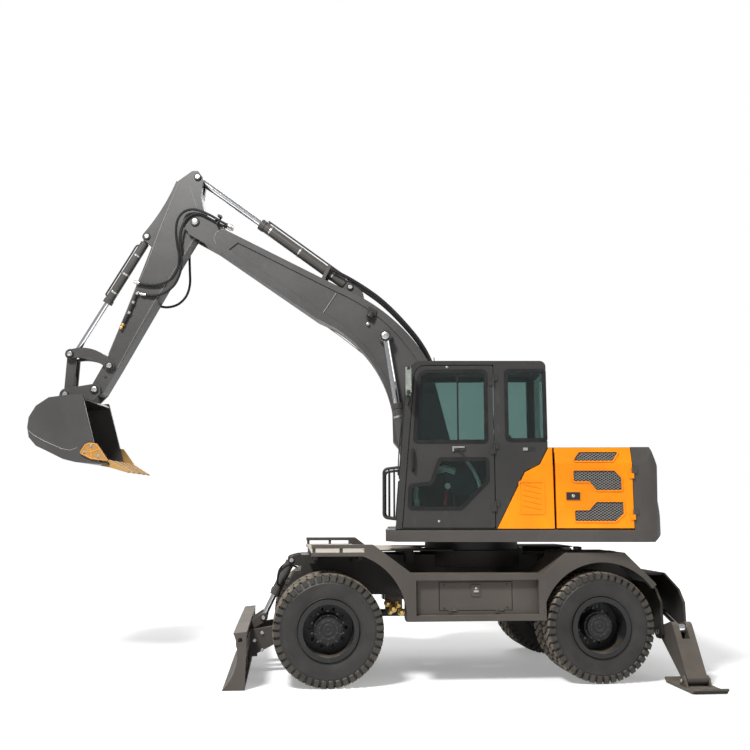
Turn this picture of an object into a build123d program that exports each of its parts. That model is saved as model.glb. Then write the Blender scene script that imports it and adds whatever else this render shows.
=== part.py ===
from build123d import *
from math import radians, tan
import os

# A wheeled excavator on twin tyres, with a cab, a one-piece boom, an arm and a bucket.
# Millimetres. +X forward, +Y to the cab's side, +Z up, origin on the floor below the slewing axis.
# The upper works are drawn square to X and are turned by SLEW about Z when they are written.

os.makedirs("parts", exist_ok=True)

# Driving dimensions
SLEW = -7
PIVOT_GAP = 0.5
SIDE_GAP = 6
PANEL_GAP = 6

# Wheels: twin tyres on each hub, left and right the same
TYRE_RADIUS = 527.5
TYRE_WIDTH = 270
TYRE_BEAD_RADIUS = 256.5
TWIN_PITCH = 315
OUTER_FACE_Y = 1240
RIM_WALL = 13
RIM_FLANGE_RADIUS = 288
RIM_FLANGE_WIDTH = 12
HUB_RADIUS = 140
HUB_OUTER_Y = 1150
SPINDLE_RADIUS = 90
SPINDLE_END_Y = 927
HUB_INNER_Y = 780
WHEEL_BOLT_CIRCLE = 180
WHEEL_HOLE_COUNT = 10
WHEEL_HOLE_RADIUS = 16
AXLES = {"front": 1611, "rear": -1030}
SIDES = {"left": 1, "right": -1}

# Axles and steering
AXLE_TUBE_RADIUS = 105
DIFFERENTIAL_RADIUS = 180
KINGPIN_Y = 700
KINGPIN_RADIUS = 30
FORK_HALF_HEIGHT = 175
KNUCKLE_HALF_HEIGHT = 134
STEER_ARM = (-270, -95)
STEER_ARM_DROP = 110
TIE_ROD_RADIUS = 18
SHAFT_Z = 560

# Chassis
FRAME_HALF_WIDTH = 330
FRAME_BOTTOM_Z = 780
FRAME_TOP_Z = 1190
FRAME_FRONT_X = 1860
FRAME_REAR_X = -1700
PEDESTAL_TOP_Z = 1235
PEDESTAL_RADIUS = 560
RING_RADIUS = 505
RING_BORE_RADIUS = 430
RING_TOP_Z = 1335
SIDE_INNER_Y = 900
SIDE_OUTER_Y = 1210
FENDER_INNER_Y = 470
DECK_X = (310, 1779)
DECK_Z = (1238, 1250)
DECK_HALF_WIDTH = 469
DECK_WIDE_HALF_WIDTH = 639

# Upper works
UPPER_BOTTOM_Z = 1345
FLOOR_Z = 1375
SILL_TOP_Z = 1470
UPPER_HALF_WIDTH = 1170
UPPER_FRONT_X = 816
BAY_FRONT_X = -738
BAY_REAR_X = -1508
CREASE_Z = 2105
HOOD_Z = 2271
HOOD_THICKNESS = 40
HOOD_HALF_WIDTH = 1060
SHOULDER_Y = 1107
COVER_THICKNESS = 40

# Cab
CAB_INNER_Y = 300
CAB_WALL = 50
DOOR_REAR_X = -155

# Boom, arm and bucket pins, as (x, z)
BOOM_FOOT = (200, 1800)
BOOM_CYLINDER_BASE = (590, 1500)
BOOM_CYLINDER_TIP = (931, 3565)
ARM_PIN = (3118, 4930)
ARM_CYLINDER_BASE = (1335, 4167)
ARM_CYLINDER_TIP = (3112, 5483)
BUCKET_CYLINDER_BASE = (3693, 4788)
ROCKER_PIN = (4045, 3263)
ROCKER_TIP = (4500, 3400)
BUCKET_PIN = (4194, 2989)
LINK_FOOT = (4520, 2935)
BOOM_HALF_WIDTH = 150
FLANGE_LIP = 14
ARM_HALF_WIDTH = 104
BUCKET_HALF_WIDTH = 475

# Door hinges
HINGE_RADIUS = 12
HINGE_PIN_RADIUS = 6
HINGE_LENGTH = 50
HINGE_AXIS_OUT = 14
ENGINE_DOOR_HINGE_Z = (1560, 1960)
CAB_DOOR_HINGE_Z = (1640, 2200, 2880)
LOCKER_HINGE_RADIUS = 6
LOCKER_HINGE_LENGTH = 40

# Blade and outrigger pins
BLADE_PIN = (1930, 450)
BLADE_CYLINDER_BASE = (1960, 1130)
BLADE_CYLINDER_TIP = (2245, 545)
BLADE_HALF_WIDTH = 1220
OUTRIGGER_X = -1830
OUTRIGGER_HALF_BAY = 105
LEG_PIN = (960, 450)
LEG_CYLINDER_BASE = (300, 770)
LEG_CYLINDER_TIP = (1190, 510)
FOOT_PIN = (1480, 73)


def side_plane(y):
    """The plane at this Y, seen from the cab's side; what is extruded from it goes towards -Y."""
    return Plane.XZ.offset(-y)


def slab(points, y_low, y_high, radius=0, mode=Mode.ADD):
    """A plate with a side outline of (x, z) points; a point's third value is its own corner radius."""
    with BuildSketch(side_plane(y_high)) as face:
        with BuildLine():
            Polyline(*[point[:2] for point in points], close=True)
        make_face()
        for x, z, *own in points:
            corner = own[0] if own else radius
            if corner:
                fillet(face.vertices().sort_by_distance((x, z, 0))[0], corner)
    extrude(face.sketch, amount=y_high - y_low, mode=mode)


def cross(points, x_low, x_high, radius=0, mode=Mode.ADD):
    """A plate with an end outline of (y, z) points, from x_low to x_high."""
    with BuildSketch(Plane.YZ.offset(x_low)) as face:
        with BuildLine():
            Polyline(*points, close=True)
        make_face()
        if radius:
            fillet(face.vertices(), radius)
    extrude(face.sketch, amount=x_high - x_low, mode=mode)


def arched(points, arc_middle, y_low, y_high):
    """A plate whose side outline runs through the points and is closed by an arc through its middle."""
    with BuildSketch(side_plane(y_high)) as face:
        with BuildLine():
            Polyline(*points)
            ThreePointArc(points[-1], arc_middle, points[0])
        make_face()
    extrude(face.sketch, amount=y_high - y_low)


def block(x_range, y_range, z_range, mode=Mode.ADD):
    """A square block between two X, two Y and two Z values."""
    (x_low, x_high), (y_low, y_high), (z_low, z_high) = sorted(x_range), sorted(y_range), sorted(z_range)
    with BuildSketch(Plane.XY.offset(z_low)) as face:
        with Locations(((x_low + x_high) / 2, (y_low + y_high) / 2)):
            Rectangle(x_high - x_low, y_high - y_low)
    extrude(face.sketch, amount=z_high - z_low, mode=mode)


def bar(start, end, radius, mode=Mode.ADD):
    """A round bar between two points."""
    start, end = Vector(start), Vector(end)
    with BuildSketch(Plane(origin=start, z_dir=end - start)) as face:
        Circle(radius)
    extrude(face.sketch, amount=(end - start).length, mode=mode)


def bar_y(pin, radius, y_low, y_high, mode=Mode.ADD):
    """A round bar along Y at a pin's (x, z)."""
    bar((pin[0], y_low, pin[1]), (pin[0], y_high, pin[1]), radius, mode)


def bar_x(pin, radius, x_low, x_high, mode=Mode.ADD):
    """A round bar along X at a pin's (y, z)."""
    bar((x_low, pin[0], pin[1]), (x_high, pin[0], pin[1]), radius, mode)


def web(start, start_radius, end, end_radius, y_low, y_high, mode=Mode.ADD):
    """A plate that wraps two round bosses, such as a lever between two pins."""
    with BuildSketch(side_plane(y_high)) as face:
        with Locations(start):
            Circle(start_radius)
        with Locations(end):
            Circle(end_radius)
        make_hull()
    extrude(face.sketch, amount=y_high - y_low, mode=mode)


def upright_hinge(x, reach, z, sign, fixed):
    """Half a hinge on the side of the upper works: its leaf, and its knuckle about the fixed half's pin."""
    y = sign * (UPPER_HALF_WIDTH + HINGE_AXIS_OUT)
    low = z + HINGE_LENGTH + 2 if fixed else z
    bar((x, y, low), (x, y, low + HINGE_LENGTH), HINGE_RADIUS)
    block((x, reach), (sign * (UPPER_HALF_WIDTH - 1), y), (low, low + HINGE_LENGTH))
    if fixed:
        bar((x, y, z), (x, y, low), HINGE_PIN_RADIUS)
    else:
        bar((x, y, low), (x, y, low + HINGE_LENGTH), HINGE_PIN_RADIUS + PIVOT_GAP, Mode.SUBTRACT)


def locker_hinge(x, sign, fixed):
    """Half a hinge under a locker's door, about a pin along X."""
    y = sign * (LOCKER_FACE_Y + LOCKER_HINGE_RADIUS + 1)
    z = LOCKER_DOOR_Z[0] + PANEL_GAP / 2
    low = x + LOCKER_HINGE_LENGTH + 2 if fixed else x
    bar((low, y, z), (low + LOCKER_HINGE_LENGTH, y, z), LOCKER_HINGE_RADIUS)
    block((low, low + LOCKER_HINGE_LENGTH), (sign * (LOCKER_FACE_Y - 1), y), (z, z - 24 if fixed else z + 24))
    if fixed:
        bar((x, y, z), (low, y, z), LOCKER_HINGE_RADIUS / 2)
    else:
        pin_hole = LOCKER_HINGE_RADIUS / 2 + PIVOT_GAP
        bar((low, y, z), (low + LOCKER_HINGE_LENGTH, y, z), pin_hole, Mode.SUBTRACT)


def write(piece, node, turn=0):
    """Label a finished piece and write it, turned about Z with the upper works if need be."""
    part = piece.part.rotate(Axis.Z, turn) if turn else piece.part
    part.label = node
    export_step(part, f"parts/{node}.step")


def barrel(base, tip, axis, sizes):
    """A cylinder's barrel from its base eye, bored for its rod and for its pin."""
    base, tip, axis = Vector(base), Vector(tip), Vector(axis)
    along = (tip - base).normalized()
    reach = sizes["barrel_length"]
    bar(base, base + along * sizes["body_start"], sizes["half_width"] - 2)
    bar(base + along * sizes["body_start"], base + along * reach, sizes["barrel"])
    bar(base + along * (reach - sizes["barrel"]), base + along * reach, sizes["barrel"] + 7)
    bar(base - axis * sizes["half_width"], base + axis * sizes["half_width"], sizes["eye"])
    bar(base - axis * sizes["half_width"], base + axis * sizes["half_width"],
        sizes["pin"] + PIVOT_GAP, Mode.SUBTRACT)
    bar(base + along * sizes["bore_start"], base + along * reach, sizes["rod"] + PIVOT_GAP, Mode.SUBTRACT)


def rod(base, tip, axis, sizes, pin_reach=0):
    """A cylinder's rod and its eye, with the eye's own short pin inside it."""
    base, tip, axis = Vector(base), Vector(tip), Vector(axis)
    along = (tip - base).normalized()
    bar(base + along * sizes["rod_start"], tip - along * sizes["eye"] * 0.5, sizes["rod"])
    bar(tip - axis * sizes["half_width"], tip + axis * sizes["half_width"], sizes["eye"])
    if pin_reach:
        bar(tip - axis * pin_reach, tip + axis * pin_reach, sizes["pin"])


# Sizes of the cylinders: radii, half width of the eyes, and distances from the base pin
BOOM_CYLINDER = dict(barrel=58, rod=37, eye=62, pin=32, half_width=34,
                     body_start=84, barrel_length=1330, bore_start=94, rod_start=780)
ARM_CYLINDER = dict(barrel=60, rod=38, eye=50, pin=30, half_width=40,
                    body_start=80, barrel_length=1300, bore_start=92, rod_start=900)
BUCKET_CYLINDER = dict(barrel=50, rod=30, eye=54, pin=30, half_width=36,
                       body_start=74, barrel_length=900, bore_start=86, rod_start=640)
BLADE_CYLINDER = dict(barrel=45, rod=26, eye=42, pin=22, half_width=30,
                      body_start=32, barrel_length=400, bore_start=40, rod_start=262)
LEG_CYLINDER = dict(barrel=50, rod=28, eye=46, pin=25, half_width=32,
                    body_start=36, barrel_length=462, bore_start=45, rod_start=438)


# Wheels

TYRE_CENTRES = (OUTER_FACE_Y - TYRE_WIDTH / 2 - TWIN_PITCH, OUTER_FACE_Y - TYRE_WIDTH / 2)

# One half of a tyre's section, from the bead to the crown, as (radius, distance from its middle)
TYRE_SECTION = (
    (TYRE_BEAD_RADIUS, 105),
    (RIM_FLANGE_RADIUS + 8, 110),
    (400, TYRE_WIDTH / 2),
    (TYRE_RADIUS - 50, TYRE_WIDTH / 2 - 4),
    (TYRE_RADIUS - 6, TYRE_WIDTH / 2 - 22),
)


def build_tyres(axle_x, sign):
    """The twin tyres of one hub, turned about its axis."""
    with BuildPart() as tyres:
        for centre in TYRE_CENTRES:
            left = [(axle_x + r, sign * centre - w) for r, w in TYRE_SECTION]
            right = [(axle_x + r, sign * centre + w) for r, w in reversed(TYRE_SECTION)]
            with BuildSketch(Plane.XY.offset(TYRE_RADIUS)):
                with BuildLine():
                    Polyline(*left)
                    ThreePointArc(left[-1], (axle_x + TYRE_RADIUS, sign * centre), right[0])
                    Polyline(*right)
                    Line(right[-1], left[0])
                make_face()
            revolve(axis=Axis((axle_x, 0, TYRE_RADIUS), (0, 1, 0)))
    return tyres


def build_rim(axle_x, sign):
    """Both rims of a twin wheel with the disc between them and the planetary hub."""
    centre = (axle_x, TYRE_RADIUS)
    band = TYRE_BEAD_RADIUS - 0.3
    outer_y = OUTER_FACE_Y - 10
    inner_y = TYRE_CENTRES[0] - TYRE_WIDTH / 2 + 10
    disc_y = sum(TYRE_CENTRES) / 2
    with BuildPart() as rim:
        bar_y(centre, band, sign * inner_y, sign * outer_y)
        for middle in TYRE_CENTRES:
            for flange in (-1, 1):
                edge = middle + flange * (TYRE_WIDTH / 2 - 10)
                bar_y(centre, RIM_FLANGE_RADIUS, sign * edge, sign * (edge - flange * RIM_FLANGE_WIDTH))
        bar_y(centre, band - RIM_WALL, sign * inner_y, sign * (disc_y - 12), Mode.SUBTRACT)
        bar_y(centre, band - RIM_WALL, sign * (disc_y + 12), sign * outer_y, Mode.SUBTRACT)
        bar_y(centre, HUB_RADIUS + 12, sign * HUB_INNER_Y, sign * disc_y)
        bar_y(centre, HUB_RADIUS, sign * disc_y, sign * (HUB_OUTER_Y - 40))
        bar_y(centre, HUB_RADIUS - 22, sign * disc_y, sign * HUB_OUTER_Y)
        with BuildSketch(side_plane(disc_y * sign - 20)):
            with Locations(centre):
                with PolarLocations(WHEEL_BOLT_CIRCLE, WHEEL_HOLE_COUNT):
                    Circle(WHEEL_HOLE_RADIUS)
        extrude(amount=-40, mode=Mode.SUBTRACT)
        bore = SPINDLE_RADIUS + PIVOT_GAP
        bar_y(centre, bore, sign * HUB_INNER_Y, sign * (SPINDLE_END_Y + 5), Mode.SUBTRACT)
    return rim


for axle, axle_x in AXLES.items():
    for hand, sign in SIDES.items():
        write(build_tyres(axle_x, sign), f"tyres_{axle}_{hand}")
        write(build_rim(axle_x, sign), f"rim_{axle}_{hand}")


# Axles, steering and drive

def steer_point(sign, drop):
    """Where a steering arm's eye is."""
    return (AXLES["front"] + STEER_ARM[0], sign * (KINGPIN_Y + STEER_ARM[1]), TYRE_RADIUS - drop)


def build_front_axle():
    """The steered axle: a tube, the differential, and a fork with a kingpin stub at each end."""
    x, z = AXLES["front"], TYRE_RADIUS
    with BuildPart() as axle:
        bar_y((x, z), AXLE_TUBE_RADIUS, -560, 560)
        bar_x((0, z), DIFFERENTIAL_RADIUS, x - 130, x + 130)
        bar_x((0, SHAFT_Z), 62, x - 210, x)
        block((x - 120, x + 120), (-130, 130), (z, FRAME_BOTTOM_Z))
        for sign in SIDES.values():
            block((x - 45, x + 45), (sign * 535, sign * 590), (z - FORK_HALF_HEIGHT, z + FORK_HALF_HEIGHT))
            for end in (-1, 1):
                tip, root = z + end * FORK_HALF_HEIGHT, z + end * (KNUCKLE_HALF_HEIGHT + SIDE_GAP)
                block((x - 45, x + 45), (sign * 535, sign * KINGPIN_Y), (root, tip))
                bar((x, sign * KINGPIN_Y, root), (x, sign * KINGPIN_Y, tip), 62)
                pin_end = z + end * (KNUCKLE_HALF_HEIGHT - 55)
                bar((x, sign * KINGPIN_Y, pin_end), (x, sign * KINGPIN_Y, tip), KINGPIN_RADIUS)
    return axle


def build_rear_axle():
    """The rigid axle, with its spindles and the brackets under the chassis."""
    x, z = AXLES["rear"], TYRE_RADIUS
    with BuildPart() as axle:
        bar_y((x, z), AXLE_TUBE_RADIUS, -HUB_INNER_Y + 5, HUB_INNER_Y - 5)
        bar_y((x, z), SPINDLE_RADIUS, -SPINDLE_END_Y, SPINDLE_END_Y)
        bar_x((0, z), DIFFERENTIAL_RADIUS, x - 130, x + 130)
        bar_x((0, SHAFT_Z), 62, x, x + 220)
        for sign in SIDES.values():
            block((x - 100, x + 100), (sign * 230, sign * 320), (z, FRAME_BOTTOM_Z))
    return axle


def build_knuckle(sign):
    """A steering knuckle: the block on the kingpin, the spindle and the steering arm."""
    x, z = AXLES["front"], TYRE_RADIUS
    eye = steer_point(sign, STEER_ARM_DROP)
    with BuildPart() as knuckle:
        y = sign * KINGPIN_Y
        bar((x, y, z - KNUCKLE_HALF_HEIGHT), (x, y, z + KNUCKLE_HALF_HEIGHT), 62)
        bar_y((x, z), SPINDLE_RADIUS, y, sign * SPINDLE_END_Y)
        with BuildSketch(Plane.XY.offset(eye[2] - 15)):
            with Locations((x, y)):
                Circle(22)
            with Locations((eye[0], eye[1])):
                Circle(22)
            make_hull()
        extrude(amount=30)
        for end in (-1, 1):
            tip = z + end * KNUCKLE_HALF_HEIGHT
            bar((x, y, tip), (x, y, tip - end * 60), KINGPIN_RADIUS + PIVOT_GAP, Mode.SUBTRACT)
        bar((eye[0], eye[1], eye[2] - 15), (eye[0], eye[1], eye[2] + 15), 9, Mode.SUBTRACT)
    return knuckle


def build_tie_rod():
    """The rod between the two steering arms, on ball pins under them."""
    left, right = steer_point(1, STEER_ARM_DROP + 50), steer_point(-1, STEER_ARM_DROP + 50)
    with BuildPart() as tie_rod:
        bar(left, right, TIE_ROD_RADIUS)
        for end in (left, right):
            bar((end[0], end[1], end[2] - 26), (end[0], end[1], end[2] + 26), 26)
        bar((left[0], left[1], left[2]), (left[0], left[1], left[2] + 62), 8.5)
    return tie_rod


def build_drivetrain():
    """The drop gearbox under the chassis and the shafts to both axles."""
    front_end, rear_end = AXLES["front"] - 210, AXLES["rear"] + 220
    with BuildPart() as drive:
        slab([(-640, 520), (-360, 520), (-320, 600), (-320, FRAME_BOTTOM_Z), (-690, FRAME_BOTTOM_Z),
              (-690, 600)], -190, 190, 30)
        bar_x((0, SHAFT_Z), 38, -400, front_end)
        bar_x((0, SHAFT_Z), 38, rear_end, -600)
        for x in (-290, front_end - 45, rear_end + 15):
            bar_x((0, SHAFT_Z), 58, x, x + 30)
    return drive


write(build_front_axle(), "front_axle")
write(build_rear_axle(), "rear_axle")
write(build_knuckle(1), "knuckle_left")
write(build_knuckle(-1), "knuckle_right")
write(build_tie_rod(), "tie_rod")
write(build_drivetrain(), "drivetrain")


# Chassis

BLADE_ARM_Y = (270, 310)
BLADE_CYLINDER_Y = 150
BLADE_EAR_WIDTH = 20

with BuildPart() as chassis_frame:
    slab([(FRAME_FRONT_X, FRAME_TOP_Z), (FRAME_FRONT_X, 900), (1700, FRAME_BOTTOM_Z),
          (-1450, FRAME_BOTTOM_Z), (FRAME_REAR_X, 640), (FRAME_REAR_X, FRAME_TOP_Z - 120),
          (-1450, FRAME_TOP_Z)], -FRAME_HALF_WIDTH, FRAME_HALF_WIDTH)
    bar((0, 0, FRAME_TOP_Z - 120), (0, 0, PEDESTAL_TOP_Z), PEDESTAL_RADIUS)
    bar((0, 0, FRAME_TOP_Z - 120), (0, 0, PEDESTAL_TOP_Z), RING_BORE_RADIUS - 90, Mode.SUBTRACT)
    for x_low, x_high in ((560, 800), (-430, -190)):
        block((x_low, x_high), (-SIDE_INNER_Y, SIDE_INNER_Y), (810, 985))
    for x_low, x_high in ((-740, -660), (-1400, -1320)):
        block((x_low, x_high), (-FENDER_INNER_Y, FENDER_INNER_Y), (1110, 1170))
    for x_low, x_high in ((700, 780), (1250, 1330), (1700, 1779)):
        block((x_low, x_high), (-DECK_HALF_WIDTH, DECK_HALF_WIDTH), (1110, DECK_Z[0]))
    with BuildSketch(Plane.XY.offset(DECK_Z[0])):
        with Locations(((DECK_X[0] + DECK_X[1]) / 2, 0)):
            Rectangle(DECK_X[1] - DECK_X[0], 2 * DECK_HALF_WIDTH)
        with Locations((770, 0)):
            Rectangle(920, 2 * DECK_WIDE_HALF_WIDTH)
        Circle(RING_RADIUS + 60, mode=Mode.SUBTRACT)
    extrude(amount=DECK_Z[1] - DECK_Z[0])
    # The nose that carries the blade
    slab([(1800, 1000), (1930, 1000), (2000, 880), (2000, 380), (1860, 380), (1810, 560)], -240, 240)
    for sign in SIDES.values():
        bar_y(BLADE_PIN, 60, sign * 235, sign * 262)
        bar_y(BLADE_PIN, 28, sign * 235, sign * 318)
        for inner in (-1, 1):
            face = BLADE_CYLINDER_Y + inner * (BLADE_CYLINDER["barrel"] + SIDE_GAP)
            ear = sorted((sign * face, sign * (face + inner * BLADE_EAR_WIDTH)))
            web(BLADE_CYLINDER_BASE, 40, (1880, 1130), 60, *ear)
        pin_reach = BLADE_CYLINDER["barrel"] + SIDE_GAP + BLADE_EAR_WIDTH
        bar_y(BLADE_CYLINDER_BASE, BLADE_CYLINDER["pin"], sign * (BLADE_CYLINDER_Y - pin_reach),
              sign * (BLADE_CYLINDER_Y + pin_reach))
    # The carrier across the rear, two plates with the legs between them
    for sign in SIDES.values():
        shoulder = [(0, 1000), (560, 1000), (916, 860), (1030, 740), (1040, 430), (990, 385), (900, 385),
                    (700, 560), (0, 600)]
        outline = [(sign * y, z) for y, z in shoulder]
        for x_low in (OUTRIGGER_X - OUTRIGGER_HALF_BAY - 25, OUTRIGGER_X + OUTRIGGER_HALF_BAY):
            cross(outline, x_low, x_low + 25)
        bar_x((sign * LEG_PIN[0], LEG_PIN[1]), 35, OUTRIGGER_X - OUTRIGGER_HALF_BAY - 30,
              OUTRIGGER_X + OUTRIGGER_HALF_BAY + 30)
        bar_x((sign * LEG_CYLINDER_BASE[0], LEG_CYLINDER_BASE[1]), LEG_CYLINDER["pin"],
              OUTRIGGER_X - OUTRIGGER_HALF_BAY - 25, OUTRIGGER_X + OUTRIGGER_HALF_BAY + 25)
    bay_end = OUTRIGGER_X + OUTRIGGER_HALF_BAY
    block((FRAME_REAR_X, bay_end), (-FRAME_HALF_WIDTH, FRAME_HALF_WIDTH), (640, 1000))
    block((OUTRIGGER_X - OUTRIGGER_HALF_BAY, OUTRIGGER_X + OUTRIGGER_HALF_BAY), (-200, 200), (640, 1000))
    for sign in SIDES.values():
        block((OUTRIGGER_X - OUTRIGGER_HALF_BAY, OUTRIGGER_X + OUTRIGGER_HALF_BAY), (sign * 200, sign * 560),
              (975, 1000))
write(chassis_frame, "chassis_frame")

with BuildPart() as slew_ring:
    bar((0, 0, PEDESTAL_TOP_Z), (0, 0, RING_TOP_Z), RING_RADIUS)
    bar((0, 0, PEDESTAL_TOP_Z), (0, 0, RING_TOP_Z), RING_BORE_RADIUS, Mode.SUBTRACT)
write(slew_ring, "slew_ring")

# Side frames: fenders, steps and a locker, with the wheel arches between them
STEP_TOP_Z = 1040
STEP_LOW_Z = 600
LOCKER_X = (-440, 760)
LOCKER_DOOR_X = (-173, 548)
LOCKER_DOOR_Z = (692, 968)
LOCKER_FACE_Y = 1150
LOCKER_HINGE_X = (LOCKER_DOOR_X[0] + 90, LOCKER_DOOR_X[1] - 170)
LOCKER_DOOR_THICKNESS = 12
FRONT_BAND = [(866, 700), (866, STEP_LOW_Z), (775, STEP_LOW_Z), (775, 985), (800, STEP_TOP_Z), (1189, 1325),
              (1270, 1325), (1270, 1250), (1779, 1250), (1779, 1215), (1290, 1215)]
FRONT_ARCH_MIDDLE = (1000, 1010)
REAR_BAND = [(-466, 700), (-466, STEP_LOW_Z), (-420, STEP_LOW_Z), (-420, STEP_TOP_Z), (-470, STEP_TOP_Z),
             (-700, 1240), (-1290, 1240), (-1600, 930), (-1560, 890)]
REAR_ARCH_MIDDLE = (-1060, 1146)

with BuildPart() as side_frames:
    for sign in SIDES.values():
        outer = sorted((sign * (SIDE_OUTER_Y - 70), sign * SIDE_OUTER_Y))
        deck = sorted((sign * FENDER_INNER_Y, sign * SIDE_OUTER_Y))
        slope = sorted((sign * 640, sign * SIDE_OUTER_Y))
        arched(FRONT_BAND, FRONT_ARCH_MIDDLE, *outer)
        arched(REAR_BAND, REAR_ARCH_MIDDLE, *outer)
        slab([(1779, 1250), (1779, 1238), (1240, 1238), (1240, 1250)], *deck)
        slab([(1240, 1238), (800, 1028), (800, STEP_TOP_Z), (1240, 1250)], *slope)
        slab([(-700, 1228), (-470, 1028), (-470, STEP_TOP_Z), (-700, 1240)], *slope)
        slab([(-700, 1228), (-1290, 1228), (-1290, 1240), (-700, 1240)], *deck)
        slab([(-1290, 1228), (-1582, 936), (-1590, 945), (-1290, 1240)], *slope)
        # The raised rail along the front deck
        rail = sorted((sign * 1150, sign * SIDE_OUTER_Y))
        slab([(1779, 1325), (1779, 1290), (1189, 1290), (1189, 1325)], *rail)
        for x in (1740, 1480):
            block((x, x + 30), (sign * 1160, sign * 1195), (1240, 1300))
        # Steps and locker
        block((-490, 866), (sign * SIDE_INNER_Y, sign * SIDE_OUTER_Y), (985, STEP_TOP_Z))
        block((-490, 866), (sign * 1040, sign * SIDE_OUTER_Y), (STEP_LOW_Z, 655))
        block(LOCKER_X, (sign * SIDE_INNER_Y, sign * LOCKER_FACE_Y), (655, 985))
        block((LOCKER_X[0] + 20, LOCKER_X[1] - 20), (sign * (SIDE_INNER_Y + 15), sign * (LOCKER_FACE_Y - 15)),
              (670, 970), Mode.SUBTRACT)
        doorway = (sign * (LOCKER_FACE_Y - 30), sign * (LOCKER_FACE_Y + 10))
        block(LOCKER_DOOR_X, doorway, LOCKER_DOOR_Z, Mode.SUBTRACT)
        for x in (-480, 840):
            block((x - 12, x + 12), (sign * SIDE_INNER_Y, sign * SIDE_OUTER_Y), (STEP_LOW_Z, 985))
        for x in (1290, 1740):
            block((x - 40, x), (sign * FENDER_INNER_Y, sign * 640), (1150, 1240))
        for x in (-700, -1360):
            block((x - 40, x + 10), (sign * FENDER_INNER_Y, sign * 640), (1150, 1230))
        for x in LOCKER_HINGE_X:
            locker_hinge(x, sign, True)
write(side_frames, "side_frames")

for hand, sign in SIDES.items():
    with BuildPart() as locker_door:
        block((LOCKER_DOOR_X[0] + PANEL_GAP, LOCKER_DOOR_X[1] - PANEL_GAP),
              (sign * (LOCKER_FACE_Y - LOCKER_DOOR_THICKNESS), sign * LOCKER_FACE_Y),
              (LOCKER_DOOR_Z[0] + PANEL_GAP, LOCKER_DOOR_Z[1] - PANEL_GAP))
        middle = sum(LOCKER_DOOR_X) / 2
        block((middle - 45, middle + 45), (sign * LOCKER_FACE_Y, sign * (LOCKER_FACE_Y + 10)),
              (LOCKER_DOOR_Z[1] - 140, LOCKER_DOOR_Z[1] - 30))
        for x in LOCKER_HINGE_X:
            locker_hinge(x, sign, False)
    write(locker_door, f"locker_door_{hand}")


# Blade

with BuildPart() as blade:
    with BuildSketch(side_plane(BLADE_HALF_WIDTH)):
        with BuildLine():
            Polyline((2593, 3), (2384, 3), (2373, 530), (2499, 517))
            ThreePointArc((2499, 517), (2462, 260), (2593, 3))
        make_face()
    extrude(amount=2 * BLADE_HALF_WIDTH)
    with BuildSketch(side_plane(BLADE_HALF_WIDTH - 22)):
        with BuildLine():
            Polyline((2500, 34), (2300, 34), (2300, 480), (2440, 480))
            ThreePointArc((2440, 480), (2430, 260), (2500, 34))
        make_face()
    extrude(amount=2 * BLADE_HALF_WIDTH - 44, mode=Mode.SUBTRACT)
    for y in (-760, -240, 240, 760):
        slab([(2500, 34), (2384, 34), (2373, 480), (2440, 480), (2425, 260)], y - 10, y + 10)
    slab([(2440, 300), (2374, 300), (2374, 420), (2440, 420)], -BLADE_HALF_WIDTH, BLADE_HALF_WIDTH)
    for sign in SIDES.values():
        y_low, y_high = sorted((sign * BLADE_ARM_Y[0], sign * BLADE_ARM_Y[1]))
        web(BLADE_PIN, 55, (2390, 300), 130, y_low, y_high)
        slab([(2440, 430), (2300, 430), (2300, 170), (2470, 170)], y_low, y_high)
        bar_y(BLADE_PIN, 28 + PIVOT_GAP, y_low, y_high, Mode.SUBTRACT)
        bar_y((2434, 455), 20, sign * (BLADE_HALF_WIDTH - 22), sign * BLADE_HALF_WIDTH, Mode.SUBTRACT)
        for inner in (-1, 1):
            face = BLADE_CYLINDER_Y + inner * (BLADE_CYLINDER["half_width"] + SIDE_GAP)
            ear = sorted((sign * face, sign * (face + inner * BLADE_EAR_WIDTH)))
            web(BLADE_CYLINDER_TIP, 44, (2410, 440), 40, *ear)
            bar_y(BLADE_CYLINDER_TIP, 26, sign * face, sign * (face + inner * (BLADE_EAR_WIDTH + 10)))
write(blade, "blade")

with BuildPart() as blade_barrels:
    for sign in SIDES.values():
        y = sign * BLADE_CYLINDER_Y
        barrel((BLADE_CYLINDER_BASE[0], y, BLADE_CYLINDER_BASE[1]), 
               (BLADE_CYLINDER_TIP[0], y, BLADE_CYLINDER_TIP[1]), (0, 1, 0), BLADE_CYLINDER)
write(blade_barrels, "blade_barrels")

with BuildPart() as blade_rods:
    for sign in SIDES.values():
        y = sign * BLADE_CYLINDER_Y
        rod((BLADE_CYLINDER_BASE[0], y, BLADE_CYLINDER_BASE[1]), 
            (BLADE_CYLINDER_TIP[0], y, BLADE_CYLINDER_TIP[1]), (0, 1, 0), BLADE_CYLINDER)
write(blade_rods, "blade_rods")


# Outriggers

LEG_PLATE = 16
LEG_HALF_WIDTH = OUTRIGGER_HALF_BAY - SIDE_GAP
PAD_SECTION = [(-335, 38), (-290, 0), (290, 0), (335, 38), (323, 52), (282, 20), (-282, 20), (-323, 52)]

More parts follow.
